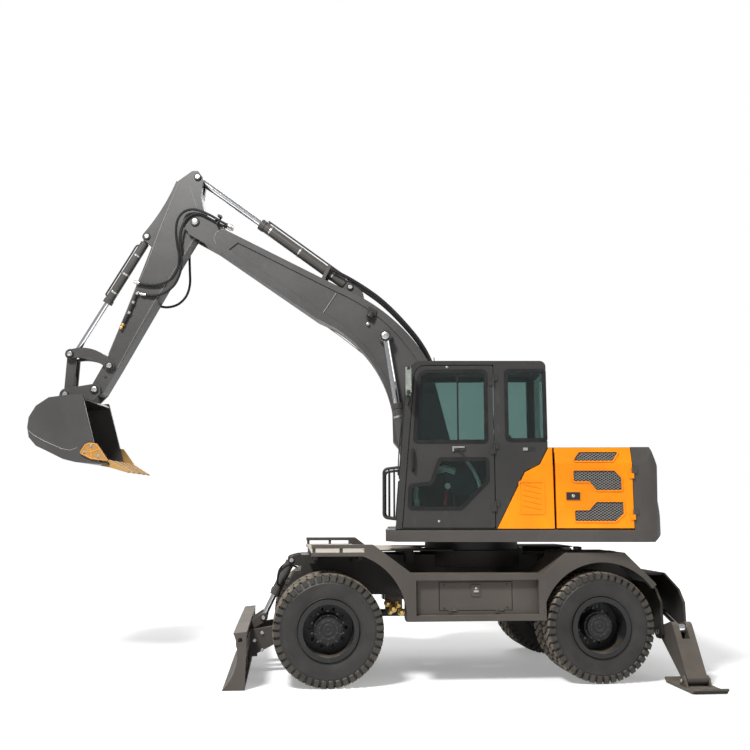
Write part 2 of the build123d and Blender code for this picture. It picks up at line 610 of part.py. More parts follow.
for hand, sign in SIDES.items():
    pin, tip, foot = ((sign * y, z) for y, z in (LEG_PIN, LEG_CYLINDER_TIP, FOOT_PIN))
    with BuildPart() as leg:
        with BuildSketch(Plane.YZ.offset(OUTRIGGER_X - LEG_HALF_WIDTH)):
            for centre, radius in ((pin, 60), (tip, 62), (foot, 48)):
                with Locations(centre):
                    Circle(radius)
            make_hull()
        extrude(amount=2 * LEG_HALF_WIDTH)
        # The open top where the rod comes in
        with BuildSketch(Plane.YZ.offset(OUTRIGGER_X - LEG_CYLINDER["half_width"] - SIDE_GAP)):
            with Locations(tip):
                Circle(150)
            with Locations((sign * 900, 650)):
                Circle(160)
            make_hull()
        extrude(amount=2 * (LEG_CYLINDER["half_width"] + SIDE_GAP), mode=Mode.SUBTRACT)
        bar_x(pin, 35 + PIVOT_GAP, OUTRIGGER_X - 200, OUTRIGGER_X + 200, Mode.SUBTRACT)
        bar_x(foot, 24 + PIVOT_GAP, OUTRIGGER_X - 200, OUTRIGGER_X + 200, Mode.SUBTRACT)
    write(leg, f"outrigger_leg_{hand}")

    with BuildPart() as pad:
        cross([(foot[0] + y, z) for y, z in PAD_SECTION], OUTRIGGER_X - 165, OUTRIGGER_X + 165)
        for x_low in (OUTRIGGER_X - LEG_HALF_WIDTH - 26, OUTRIGGER_X + LEG_HALF_WIDTH + 6):
            with BuildSketch(Plane.YZ.offset(x_low)):
                with Locations(foot):
                    Circle(42)
                with Locations((foot[0] - 80, 19), (foot[0] + 80, 19)):
                    Rectangle(4, 2)
                make_hull()
            extrude(amount=20)
        bar_x(foot, 24, OUTRIGGER_X - LEG_HALF_WIDTH - 34, OUTRIGGER_X + LEG_HALF_WIDTH + 34)
    write(pad, f"outrigger_pad_{hand}")

    base_point = (OUTRIGGER_X, sign * LEG_CYLINDER_BASE[0], LEG_CYLINDER_BASE[1])
    tip_point = (OUTRIGGER_X, tip[0], tip[1])
    with BuildPart() as leg_barrel:
        barrel(base_point, tip_point, (1, 0, 0), LEG_CYLINDER)
    write(leg_barrel, f"outrigger_barrel_{hand}")
    with BuildPart() as leg_rod:
        rod(base_point, tip_point, (1, 0, 0), LEG_CYLINDER)
    write(leg_rod, f"outrigger_rod_{hand}")


# Upper works

BOOM_BRACKET = [(-250, FLOOR_Z), (-150, 1800), (80, 1940), (310, 1940), (420, 1740), (520, 1560), (620, 1556),
                (650, 1520), (655, FLOOR_Z)]
BOOM_CYLINDER_EAR = [(490, FLOOR_Z), (530, 1540), (560, 1560), (620, 1556), (650, 1520), (655, FLOOR_Z)]
BRACKET_Y = (BOOM_HALF_WIDTH + 10, BOOM_HALF_WIDTH + 35)
BOOM_CYLINDER_Y = 225
FOOT_PIN_RADIUS = 42
NOSE_X = 920
NOSE_HALF_WIDTH = 960
NOSE_INNER_Y = 304
BOOM_NOTCH_X = 690
BOOM_NOTCH_HALF_WIDTH = 200

with BuildPart() as upper_frame:
    with BuildSketch(Plane.XY.offset(UPPER_BOTTOM_Z)):
        with BuildLine():
            Polyline((BAY_REAR_X, UPPER_HALF_WIDTH), (UPPER_FRONT_X, UPPER_HALF_WIDTH),
                     (NOSE_X, NOSE_HALF_WIDTH), (NOSE_X, BOOM_NOTCH_HALF_WIDTH), (BOOM_NOTCH_X, BOOM_NOTCH_HALF_WIDTH),
                     (BOOM_NOTCH_X, -BOOM_NOTCH_HALF_WIDTH), (NOSE_X, -BOOM_NOTCH_HALF_WIDTH),
                     (NOSE_X, -NOSE_HALF_WIDTH), (UPPER_FRONT_X, -UPPER_HALF_WIDTH),
                     (BAY_REAR_X, -UPPER_HALF_WIDTH), close=True)
        make_face()
    extrude(amount=FLOOR_Z - UPPER_BOTTOM_Z)
    for sign in SIDES.values():
        with BuildSketch(Plane.XY.offset(FLOOR_Z)):
            with BuildLine():
                Polyline((UPPER_FRONT_X - 10, sign * NOSE_INNER_Y), (NOSE_X, sign * NOSE_INNER_Y),
                         (NOSE_X, sign * NOSE_HALF_WIDTH), (UPPER_FRONT_X, sign * UPPER_HALF_WIDTH),
                         (UPPER_FRONT_X - 10, sign * UPPER_HALF_WIDTH), close=True)
            make_face()
        extrude(amount=SILL_TOP_Z - 12 - FLOOR_Z)
        sill = [(sign * UPPER_HALF_WIDTH, FLOOR_Z), (sign * UPPER_HALF_WIDTH, SILL_TOP_Z - 22),
                (sign * (UPPER_HALF_WIDTH - 22), SILL_TOP_Z), (sign * (UPPER_HALF_WIDTH - 80), SILL_TOP_Z),
                (sign * (UPPER_HALF_WIDTH - 80), FLOOR_Z)]
        cross(sill, BAY_REAR_X, UPPER_FRONT_X)
        block((UPPER_FRONT_X - 70, UPPER_FRONT_X), (sign * CAB_INNER_Y, sign * UPPER_HALF_WIDTH),
              (FLOOR_Z, SILL_TOP_Z - 12))
        block((-700, UPPER_FRONT_X), (sign * CAB_INNER_Y, sign * (CAB_INNER_Y + 60)), (FLOOR_Z, SILL_TOP_Z))
        slab(BOOM_BRACKET, *sorted((sign * BRACKET_Y[0], sign * BRACKET_Y[1])))
        ear = sorted((sign * (BOOM_CYLINDER_Y + 40), sign * (BOOM_CYLINDER_Y + 60)))
        slab(BOOM_CYLINDER_EAR, *ear)
        bar_y(BOOM_CYLINDER_BASE, BOOM_CYLINDER["pin"], sign * BRACKET_Y[0], sign * (BOOM_CYLINDER_Y + 68))
    bar_y(BOOM_FOOT, FOOT_PIN_RADIUS, -BRACKET_Y[1] - 12, BRACKET_Y[1] + 12)
    bar_y(BOOM_FOOT, 85, -BRACKET_Y[1] - 8, -BRACKET_Y[0])
    bar_y(BOOM_FOOT, 85, BRACKET_Y[0], BRACKET_Y[1] + 8)
    bar((0, 0, PEDESTAL_TOP_Z + 10), (0, 0, UPPER_BOTTOM_Z), RING_BORE_RADIUS - PIVOT_GAP)
    bar((0, 0, PEDESTAL_TOP_Z + 10), (0, 0, UPPER_BOTTOM_Z), RING_BORE_RADIUS - 60, Mode.SUBTRACT)
write(upper_frame, "upper_frame", SLEW)

# Counterweight: one side outline, one end outline and one plan, kept where all three meet
REAR_X = -1812
COUNTERWEIGHT_SIDE = [(BAY_REAR_X, UPPER_BOTTOM_Z), (-1712, UPPER_BOTTOM_Z), (-1800, 1415), (-1806, 1561),
                      (-1763, 1742), (-1778, 2088), (-1690, HOOD_Z), (BAY_REAR_X, HOOD_Z)]
SHOULDER = [(-UPPER_HALF_WIDTH, UPPER_BOTTOM_Z), (UPPER_HALF_WIDTH, UPPER_BOTTOM_Z),
            (UPPER_HALF_WIDTH, CREASE_Z), (SHOULDER_Y, HOOD_Z), (-SHOULDER_Y, HOOD_Z), (-UPPER_HALF_WIDTH, CREASE_Z)]
with BuildPart() as counterweight:
    slab(COUNTERWEIGHT_SIDE, -UPPER_HALF_WIDTH, UPPER_HALF_WIDTH)
    cross(SHOULDER, REAR_X, BAY_REAR_X, mode=Mode.INTERSECT)
    with BuildSketch(Plane.XY.offset(UPPER_BOTTOM_Z)) as plan:
        with Locations(((BAY_REAR_X + REAR_X) / 2, 0)):
            Rectangle(BAY_REAR_X - REAR_X, 2 * UPPER_HALF_WIDTH)
        fillet(plan.vertices().group_by(Axis.X)[0], 250)
    extrude(amount=HOOD_Z - UPPER_BOTTOM_Z, mode=Mode.INTERSECT)
    for sign in SIDES.values():
        for z in ENGINE_DOOR_HINGE_Z:
            upright_hinge(BAY_REAR_X + PANEL_GAP / 2, BAY_REAR_X - 40, z, sign, True)
write(counterweight, "counterweight", SLEW)

# Engine covers
with BuildPart() as hood:
    block((BAY_REAR_X + PANEL_GAP, BAY_FRONT_X + 38), (-HOOD_HALF_WIDTH, HOOD_HALF_WIDTH),
          (HOOD_Z - HOOD_THICKNESS, HOOD_Z))
    block((-1350, -950), (-420, 420), (HOOD_Z, HOOD_Z + 12))
write(hood, "hood", SLEW)

# Grille openings in the engine doors, as (x, z) outlines
GRILLES = {
    "upper": [(-926, 2131), (-993, 2222), (-1383, 2222), (-1316, 2131)],
    "middle": [(-926, 2038), (-1325, 2038), (-1394, 1966), (-1394, 1845), (-1146, 1845), (-1077, 1930),
               (-926, 1930)],
    "lower": [(-930, 1652), (-1068, 1652), (-1143, 1733), (-1404, 1733), (-1404, 1616), (-1324, 1545),
              (-930, 1545)],
}
DOOR_SECTION = [(UPPER_HALF_WIDTH, SILL_TOP_Z + 8), (UPPER_HALF_WIDTH, CREASE_Z), (SHOULDER_Y, HOOD_Z - 6),
                (SHOULDER_Y - COVER_THICKNESS, HOOD_Z - 6), (UPPER_HALF_WIDTH - COVER_THICKNESS, CREASE_Z - 12),
                (UPPER_HALF_WIDTH - COVER_THICKNESS, SILL_TOP_Z + 8)]
for hand, sign in SIDES.items():
    with BuildPart() as engine_door:
        cross([(sign * y, z) for y, z in DOOR_SECTION], BAY_REAR_X + PANEL_GAP, BAY_FRONT_X - PANEL_GAP - 10)
        for opening in GRILLES.values():
            pocket = [(x, z) for x, z in opening]
            slab(pocket, *sorted((sign * 1050, sign * 1200)), mode=Mode.SUBTRACT)
            low, high = min(z for x, z in opening), max(z for x, z in opening)
            for step in range(1, 12):
                z = low + step * 22
                if z + 8 > high:
                    break
                with BuildSketch(side_plane(1200 if sign > 0 else -1050)) as slat:
                    with BuildLine():
                        Polyline(*pocket, close=True)
                    make_face()
                    with Locations((-1160, z)):
                        Rectangle(900, 8, mode=Mode.INTERSECT)
                with BuildPart(mode=Mode.PRIVATE) as bars:
                    extrude(slat.sketch, amount=150)
                    cross([(sign * (y - 8), z) for y, z in DOOR_SECTION[:3]]
                          + [(sign * (y - 20), z) for y, z in reversed(DOOR_SECTION[:3])],
                          -1500, -800, mode=Mode.INTERSECT)
                add(bars.part)
        block((-1000, -860), (sign * UPPER_HALF_WIDTH, sign * (UPPER_HALF_WIDTH + 6)), (1748, 1830))
        for z in ENGINE_DOOR_HINGE_Z:
            upright_hinge(BAY_REAR_X + PANEL_GAP / 2, BAY_REAR_X + 40, z, sign, False)
    write(engine_door, f"engine_door_{hand}", SLEW)

# Fixed panels: the bulkhead, and the yellow panel behind the cab with its pressed louvres
SIDE_PANEL = [(-176, SILL_TOP_Z + 4), (-455, 2022), (-602, 2096), (-690, 2262), (BAY_FRONT_X + 12, 2262),
              (BAY_FRONT_X + 6, SILL_TOP_Z + 4)]
with BuildPart() as side_panels:
    bulkhead = (BAY_FRONT_X, BAY_FRONT_X + 30)
    block(bulkhead, (-SHOULDER_Y + 10, UPPER_HALF_WIDTH - COVER_THICKNESS), (SILL_TOP_Z, CREASE_Z - 20))
    block(bulkhead, (-HOOD_HALF_WIDTH, HOOD_HALF_WIDTH), (CREASE_Z - 20, HOOD_Z - HOOD_THICKNESS))
    block(bulkhead, (-UPPER_HALF_WIDTH + 80, UPPER_HALF_WIDTH - 80), (FLOOR_Z, SILL_TOP_Z))
    slab(SIDE_PANEL, UPPER_HALF_WIDTH - COVER_THICKNESS, UPPER_HALF_WIDTH - 2)
    for step in range(5):
        z = 1655 + 52 * step
        louvre = [(-602, z), (-430, z + 40), (-430, z + 52), (-602, z + 12)]
        slab(louvre, UPPER_HALF_WIDTH - 2, UPPER_HALF_WIDTH + 4)
write(side_panels, "side_panels", SLEW)

with BuildPart() as engine_block:
    block((-1400, -900), (-350, 350), (FLOOR_Z, 2050))
write(engine_block, "engine_block", SLEW)

with BuildPart() as fuel_tank:
    slab([(-700, SILL_TOP_Z), (-700, 2220), (-80, 2220), (-80, 1960), (300, 1960), (300, 1700), (780, 1700),
          (780, SILL_TOP_Z)], -UPPER_HALF_WIDTH, -CAB_INNER_Y - 10, 25)
write(fuel_tank, "fuel_tank", SLEW)

# Cab: a hollow shell whose rear lower edge follows the side panel
CAB_OUTLINE = [(820, SILL_TOP_Z), (685, 3136, 140), (-683, 3130, 60), (-683, 2266), (-594, 2103), (-448, 2030),
               (-169, SILL_TOP_Z)]
CAB_INSIDE = [(765, SILL_TOP_Z + 30), (636, 3080, 100), (-633, 3080, 40), (-633, 2290), (-560, 2150),
              (-410, 2070), (-135, SILL_TOP_Z + 30)]
DOOR_OUTLINE = [(749, 1482), (617, 3085, 110), (DOOR_REAR_X, 3085, 20), (DOOR_REAR_X, 1482, 20)]
DOOR_OPENING = [(757, 1474), (624, 3093, 118), (DOOR_REAR_X - 8, 3093), (DOOR_REAR_X - 8, 1474)]
WINDSCREENS = ((1560, 1930), (1990, 3000))
SIDE_WINDOW = [(-600, 2330), (560, 2330), (520, 3030), (-600, 3030)]
QUARTER_X = (-700, -279)
QUARTER_Z = (2330, 3037)
DOOR_WINDOWS = (
    [(634, 2315), (-90, 2315), (-90, 3034), (584, 3034, 100)],
    [(386, 2158), (-96, 2158), (-96, 1931), (174, 1661), (690, 1661), (680, 1895), (470, 1922)],
)


def front_x(z):
    """The cab's front face at a height."""
    (x_low, z_low), (x_high, z_high) = CAB_OUTLINE[0], CAB_OUTLINE[1][:2]
    return x_low + (x_high - x_low) * (z - z_low) / (z_high - z_low)


with BuildPart() as cab_frame:
    slab(CAB_OUTLINE, CAB_INNER_Y, UPPER_HALF_WIDTH)
    slab(CAB_INSIDE, CAB_INNER_Y + CAB_WALL, UPPER_HALF_WIDTH - CAB_WALL, mode=Mode.SUBTRACT)
    slab(DOOR_OPENING, UPPER_HALF_WIDTH - CAB_WALL - 1, UPPER_HALF_WIDTH, mode=Mode.SUBTRACT)
    for low, high in WINDSCREENS:
        block((560, 900), (CAB_INNER_Y + 60, UPPER_HALF_WIDTH - 60), (low, high), Mode.SUBTRACT)
    slab(SIDE_WINDOW, CAB_INNER_Y, CAB_INNER_Y + CAB_WALL, mode=Mode.SUBTRACT)
    block(QUARTER_X, (UPPER_HALF_WIDTH - CAB_WALL, UPPER_HALF_WIDTH), QUARTER_Z, Mode.SUBTRACT)
    block((-700, -633), (CAB_INNER_Y + 80, UPPER_HALF_WIDTH), QUARTER_Z, Mode.SUBTRACT)
    for z in CAB_DOOR_HINGE_Z:
        upright_hinge(DOOR_REAR_X - 4, DOOR_REAR_X - 45, z, 1, True)
write(cab_frame, "cab_frame", SLEW)

with BuildPart() as cab_glass:
    for low, high in WINDSCREENS:
        slab([(front_x(low) - 20, low), (front_x(high) - 20, high),
              (front_x(high) - 26, high), (front_x(low) - 26, low)],
             CAB_INNER_Y + 60, UPPER_HALF_WIDTH - 60)
    slab(SIDE_WINDOW, CAB_INNER_Y + 20, CAB_INNER_Y + 26)
    block((-676, QUARTER_X[1]), (UPPER_HALF_WIDTH - 14, UPPER_HALF_WIDTH - 8), QUARTER_Z)
    block((-676, -670), (CAB_INNER_Y + 80, UPPER_HALF_WIDTH - 8), QUARTER_Z)
write(cab_glass, "cab_glass", SLEW)

with BuildPart() as cab_door:
    slab(DOOR_OUTLINE, UPPER_HALF_WIDTH - CAB_WALL + 6, UPPER_HALF_WIDTH)
    for window in DOOR_WINDOWS:
        slab(window, UPPER_HALF_WIDTH - CAB_WALL, UPPER_HALF_WIDTH, 35, Mode.SUBTRACT)
    block((131, 249), (UPPER_HALF_WIDTH, UPPER_HALF_WIDTH + 14), (2236, 2270))
    block((632, 658), (UPPER_HALF_WIDTH, UPPER_HALF_WIDTH + 22), (2049, 2231))
    for z in CAB_DOOR_HINGE_Z:
        upright_hinge(DOOR_REAR_X - 4, DOOR_REAR_X + 38, z, 1, False)
write(cab_door, "cab_door", SLEW)

with BuildPart() as cab_door_glass:
    for window in DOOR_WINDOWS:
        slab(window, UPPER_HALF_WIDTH - 24, UPPER_HALF_WIDTH - 18, 35)
write(cab_door_glass, "cab_door_glass", SLEW)

SEAT_Y = 735
with BuildPart() as console:
    block((-120, 220), (SEAT_Y - 150, SEAT_Y + 150), (SILL_TOP_Z + 30, 1860))
    for side in (-1, 1):
        block((-100, 330), (SEAT_Y + side * 150, SEAT_Y + side * 290), (1800, 1860))
        block((-60, 330), (SEAT_Y + side * 215, SEAT_Y + side * 290), (1860, 2030))
        bar((290, SEAT_Y + side * 252, 2030), (310, SEAT_Y + side * 252, 2170), 22)
    bar((600, SEAT_Y, SILL_TOP_Z + 45), (520, SEAT_Y, 2120), 38)
    bar((520, SEAT_Y, 2120), (516, SEAT_Y, 2150), 175)
    block((470, 640), (SEAT_Y - 190, SEAT_Y + 190), (SILL_TOP_Z + 30, SILL_TOP_Z + 60))
write(console, "console", SLEW)

with BuildPart() as seat:
    slab([(-180, 1860.3), (230, 1860.3), (260, 1960), (-110, 1985),
          (-190, 2480), (-180, 2640), (-280, 2640), (-290, 2480)],
         SEAT_Y - 200, SEAT_Y + 200, 30)
write(seat, "seat", SLEW)


def pipe(points, radius, bend):
    """A bent tube of constant section along straight runs and arcs."""
    with BuildLine() as path:
        FilletPolyline(*points, radius=bend)
    with BuildSketch(Plane(origin=points[0], z_dir=Vector(points[1]) - Vector(points[0]))) as section:
        Circle(radius)
    sweep(section.sketch, path=path.line)


GUARD_X = 935
GUARD_Y = (360, 1120)
GUARD_Z = (1565, 2075)
GUARD_BAR_COUNT = 6
with BuildPart() as handrails:
    # The guard before the windscreen: two side loops, bars across and a row of upright bars
    for y in GUARD_Y:
        pipe([(front_x(GUARD_Z[0]) + 3.2, y, GUARD_Z[0]), (GUARD_X, y, GUARD_Z[0] + 15),
              (GUARD_X, y, GUARD_Z[1] - 20), (front_x(GUARD_Z[1]) + 3.2, y, GUARD_Z[1])], 14, 45)
        for x in (835, 885):
            bar((x, y, GUARD_Z[0]), (x, y, GUARD_Z[1] - 6), 7)
    for z in (1630, 1825, 2010):
        bar((GUARD_X, GUARD_Y[0], z), (GUARD_X, GUARD_Y[1], z), 11)
    for index in range(1, GUARD_BAR_COUNT):
        y = GUARD_Y[0] + (GUARD_Y[1] - GUARD_Y[0]) * index / GUARD_BAR_COUNT
        bar((GUARD_X, y, 1630), (GUARD_X, y, 2010), 7)
    # Mirror on its arm, and the rails over the tank on the far side
    pipe([(690, UPPER_HALF_WIDTH + 0.3, 2700), (690, 1300, 2700), (690, 1300, 2800)], 11, 40)
    block((672, 700), (1205, 1400), (2775, 3045))
    pipe([(250, -1140, 1960.3), (250, -1140, 2350), (-600, -1140, 2600), (-600, -1140, 2220.3)], 16, 70)
    pipe([(700, -1140, 1700.3), (700, -1140, 2200), (340, -1140, 2330), (340, -1140, 1700.3)], 16, 70)
write(handrails, "handrails", SLEW)


# Boom, with a hose along each side of its back between two blocks

HOSE_RADIUS = 19
BOOM_HOSE_Y = 100
BOOM_HOSE = [(400, 3240), (470, 3405), (570, 3565), (700, 3725), (845, 3885), (1005, 4035), (1185, 4165),
             (1370, 4280), (1560, 4375)]
HOSE_BLOCKS = (
    [(372.4, 3251.7), (455.2, 3216.5), (431.7, 3161.3), (348.9, 3196.5)],
    [(1546.6, 4401.8), (1645, 4205), (1680.8, 4222.9), (1582.4, 4419.7)],
)

with BuildPart() as boom:
    with BuildSketch(side_plane(BOOM_HALF_WIDTH)) as profile:
        with BuildLine():
            Polyline((80, 1850), (420, 3200), (466, 3318))
            ThreePointArc((466, 3318), (880, 3805), (1428, 4141))
            Polyline((1428, 4141), (2744, 4822), (3050, 5060), (3250, 4960), (3190, 4785), (2871, 4606),
                     (1700, 3785))
            ThreePointArc((1700, 3785), (1108, 3318), (858, 2722))
            Polyline((858, 2722), (850, 2400), (310, 1735), (80, 1850))
        make_face()
        with Locations(BOOM_FOOT):
            Circle(130)
        with Locations(ARM_PIN):
            Circle(140)
    extrude(amount=2 * BOOM_HALF_WIDTH)
    # Side plates stand back from the edges of the top and bottom plates
    for y in (BOOM_HALF_WIDTH, -BOOM_HALF_WIDTH + FLANGE_LIP):
        with BuildSketch(side_plane(y)):
            with BuildLine():
                Polyline((600, 2500), (560, 3270))
                ThreePointArc((560, 3270), (960, 3760), (1470, 4090))
                Polyline((1470, 4090), (2620, 4680), (2720, 4600), (1640, 3860))
                ThreePointArc((1640, 3860), (1065, 3340), (790, 2722))
                Polyline((790, 2722), (780, 2500), (600, 2500))
            make_face()
        extrude(amount=FLANGE_LIP, mode=Mode.SUBTRACT)
    # The fork for the arm
    with BuildSketch(side_plane(ARM_HALF_WIDTH + SIDE_GAP)):
        with Locations(ARM_PIN):
            Circle(270)
        with BuildLine():
            Polyline((3118, 4930), (2700, 4780), (2700, 5200), (3118, 5200), close=True)
        make_face()
    extrude(amount=2 * (ARM_HALF_WIDTH + SIDE_GAP), mode=Mode.SUBTRACT)
    bar_y(ARM_PIN, 45, -BOOM_HALF_WIDTH - 10, BOOM_HALF_WIDTH + 10)
    bar_y(BOOM_FOOT, FOOT_PIN_RADIUS + PIVOT_GAP, -BOOM_HALF_WIDTH - 5, BOOM_HALF_WIDTH + 5, Mode.SUBTRACT)
    for sign in SIDES.values():
        bar_y(BOOM_CYLINDER_TIP, 75, sign * (BOOM_HALF_WIDTH - FLANGE_LIP),
              sign * (BOOM_CYLINDER_Y - BOOM_CYLINDER["half_width"] - SIDE_GAP))
        clear = ARM_CYLINDER["half_width"] + SIDE_GAP
        ear = sorted((sign * clear, sign * (clear + 24)))
        web(ARM_CYLINDER_BASE, 62, (1300, 4050), 120, *ear)
        web(ARM_CYLINDER_BASE, 62, (1440, 4060), 40, *ear)
        for outline in HOSE_BLOCKS:
            slab(outline, *sorted((sign * (BOOM_HOSE_Y - 22), sign * (BOOM_HOSE_Y + 22))))
    bar_y(ARM_CYLINDER_BASE, ARM_CYLINDER["pin"], -80, 80)
write(boom, "boom", SLEW)


def flat_pin(pin, y=0):
    """A pin's (x, z) as a point at this Y."""
    return (pin[0], y, pin[1])


def hose(route, radius, y):
    """A hose along points (x, z) at this Y: straight runs, and at each point the largest arc they allow."""
    points = [Vector(x, y, z) for x, z in route]
    runs = [after - before for before, after in zip(points, points[1:])]
    bends = []
    for first, second in zip(runs, runs[1:]):
        half_turn = radians(first.get_angle(second) / 2)
        bends.append(0.45 * min(first.length, second.length) / tan(half_turn))
    pipe(points, radius, bends)
    print("hose radii", [round(bend) for bend in bends], "length", round(sum(run.length for run in runs)))


with BuildPart() as boom_hoses:
    for sign in SIDES.values():
        hose(BOOM_HOSE, HOSE_RADIUS, sign * BOOM_HOSE_Y)
print("boom hoses, volume in mm3:", round(boom_hoses.part.volume))
write(boom_hoses, "boom_hoses", SLEW)


with BuildPart() as boom_barrels:
    for sign in SIDES.values():
        y = sign * BOOM_CYLINDER_Y
        barrel(flat_pin(BOOM_CYLINDER_BASE, y), flat_pin(BOOM_CYLINDER_TIP, y), (0, 1, 0), BOOM_CYLINDER)
write(boom_barrels, "boom_barrels", SLEW)

with BuildPart() as boom_rods:
    for sign in SIDES.values():
        y = sign * BOOM_CYLINDER_Y
        rod(flat_pin(BOOM_CYLINDER_BASE, y), flat_pin(BOOM_CYLINDER_TIP, y), (0, 1, 0), BOOM_CYLINDER)
        bar_y(BOOM_CYLINDER_TIP, 42, sign * (BOOM_CYLINDER_Y + 34), sign * (BOOM_CYLINDER_Y + 52))
write(boom_rods, "boom_rods", SLEW)


# Arm

TOP_SLOT_HALF = ARM_CYLINDER["half_width"] + SIDE_GAP
with BuildPart() as arm:
    slab([(3045, 5460), (3110, 5560), (3180, 5560), (3359, 5426), (3699, 4436), (4085, 3354), (4262, 3020),
          (4200, 2916), (4110, 2960), (3958, 3232), (3501, 4076), (3110, 4800), (3010, 4870), (3010, 5000),
          (3070, 5249)], -ARM_HALF_WIDTH, ARM_HALF_WIDTH, 28)
    # The rod's eye works in the slot at the top
    web(ARM_CYLINDER_TIP, 190, (3330, 5448), 75, -TOP_SLOT_HALF, TOP_SLOT_HALF, Mode.SUBTRACT)
    bar_y(ARM_PIN, 45 + PIVOT_GAP, -ARM_HALF_WIDTH, ARM_HALF_WIDTH, Mode.SUBTRACT)
    bar_y(BUCKET_PIN, 38 + PIVOT_GAP, -ARM_HALF_WIDTH, ARM_HALF_WIDTH, Mode.SUBTRACT)
    for sign in SIDES.values():
        bar_y(ARM_CYLINDER_TIP, ARM_CYLINDER["pin"], sign * TOP_SLOT_HALF, sign * (ARM_HALF_WIDTH + 14))
        bar_y(ROCKER_PIN, 34, sign * (ARM_HALF_WIDTH - 10), sign * (ARM_HALF_WIDTH + 46))
        clear = BUCKET_CYLINDER["half_width"] + SIDE_GAP
        ear = sorted((sign * clear, sign * (clear + 22)))
        arched([(3738, 4822), (3600, 4760), (3470, 4900), (3330, 5420), (3371, 5456)], (3520, 5140), *ear)
        web(BUCKET_CYLINDER_BASE, 56, (3500, 4850), 90, *ear)
        web(BUCKET_CYLINDER_BASE, 56, (3540, 4640), 40, *ear)
    bar_y(BUCKET_CYLINDER_BASE, BUCKET_CYLINDER["pin"], -74, 74)
write(arm, "arm", SLEW)

# A pipe down each side of the arm, in two clamps
PIPE_RADIUS = 13
PIPE_Y = ARM_HALF_WIDTH + 26
ARM_PIPE = [(3772, 4087), (3805, 3990), (3848, 3870), (3905, 3750)]
with BuildPart() as arm_pipes:
    for sign in SIDES.values():
        hose(ARM_PIPE, PIPE_RADIUS, sign * PIPE_Y)
        for x, z in (ARM_PIPE[1], ARM_PIPE[2]):
            bar_y((x, z), 16, sign * (ARM_HALF_WIDTH + 0.2), sign * PIPE_Y)
write(arm_pipes, "arm_pipes", SLEW)

with BuildPart() as arm_barrel:
    barrel(flat_pin(ARM_CYLINDER_BASE), flat_pin(ARM_CYLINDER_TIP), (0, 1, 0), ARM_CYLINDER)
write(arm_barrel, "arm_barrel", SLEW)
with BuildPart() as arm_rod:
    rod(flat_pin(ARM_CYLINDER_BASE), flat_pin(ARM_CYLINDER_TIP), (0, 1, 0), ARM_CYLINDER)
write(arm_rod, "arm_rod", SLEW)
with BuildPart() as bucket_barrel:
    barrel(flat_pin(BUCKET_CYLINDER_BASE), flat_pin(ROCKER_TIP), (0, 1, 0), BUCKET_CYLINDER)
write(bucket_barrel, "bucket_barrel", SLEW)
with BuildPart() as bucket_rod:
    rod(flat_pin(BUCKET_CYLINDER_BASE), flat_pin(ROCKER_TIP), (0, 1, 0), BUCKET_CYLINDER)
write(bucket_rod, "bucket_rod", SLEW)

# Linkage: two curved rockers outside the arm, and a link of two plates between the bucket's ears
ROCKER_Y = (ARM_HALF_WIDTH + SIDE_GAP, ARM_HALF_WIDTH + SIDE_GAP + 26)
LINK_Y = (48, 78)
with BuildPart() as rocker:
    for sign in SIDES.values():
        y_low, y_high = sorted((sign * ROCKER_Y[0], sign * ROCKER_Y[1]))
        with BuildSketch(side_plane(y_high)):
            with BuildLine():
                ThreePointArc((4030, 3310), (4270, 3460), (4490, 3455))
                Line((4490, 3455), (4510, 3345))
                ThreePointArc((4510, 3345), (4290, 3345), (4060, 3215))
                Line((4060, 3215), (4030, 3310))
            make_face()
            with Locations(ROCKER_PIN, ROCKER_TIP):
                Circle(58)
        extrude(amount=y_high - y_low)
        bar_y(ROCKER_PIN, 34 + PIVOT_GAP, y_low, y_high, Mode.SUBTRACT)
        bar_y(ROCKER_TIP, 32, sign * 44, sign * (ROCKER_Y[1] + 12))
write(rocker, "rocker", SLEW)

with BuildPart() as link:
    for sign in SIDES.values():
        y_low, y_high = sorted((sign * LINK_Y[0], sign * LINK_Y[1]))
        web(ROCKER_TIP, 52, LINK_FOOT, 52, y_low, y_high)
        bar_y(ROCKER_TIP, 32 + PIVOT_GAP, y_low, y_high, Mode.SUBTRACT)
    slab([(4470, 3160), (4560, 3160), (4570, 2935), (4470, 2935)], -LINK_Y[0], LINK_Y[0])
    bar_y(LINK_FOOT, 52, -ARM_HALF_WIDTH, ARM_HALF_WIDTH)
write(link, "link", SLEW)

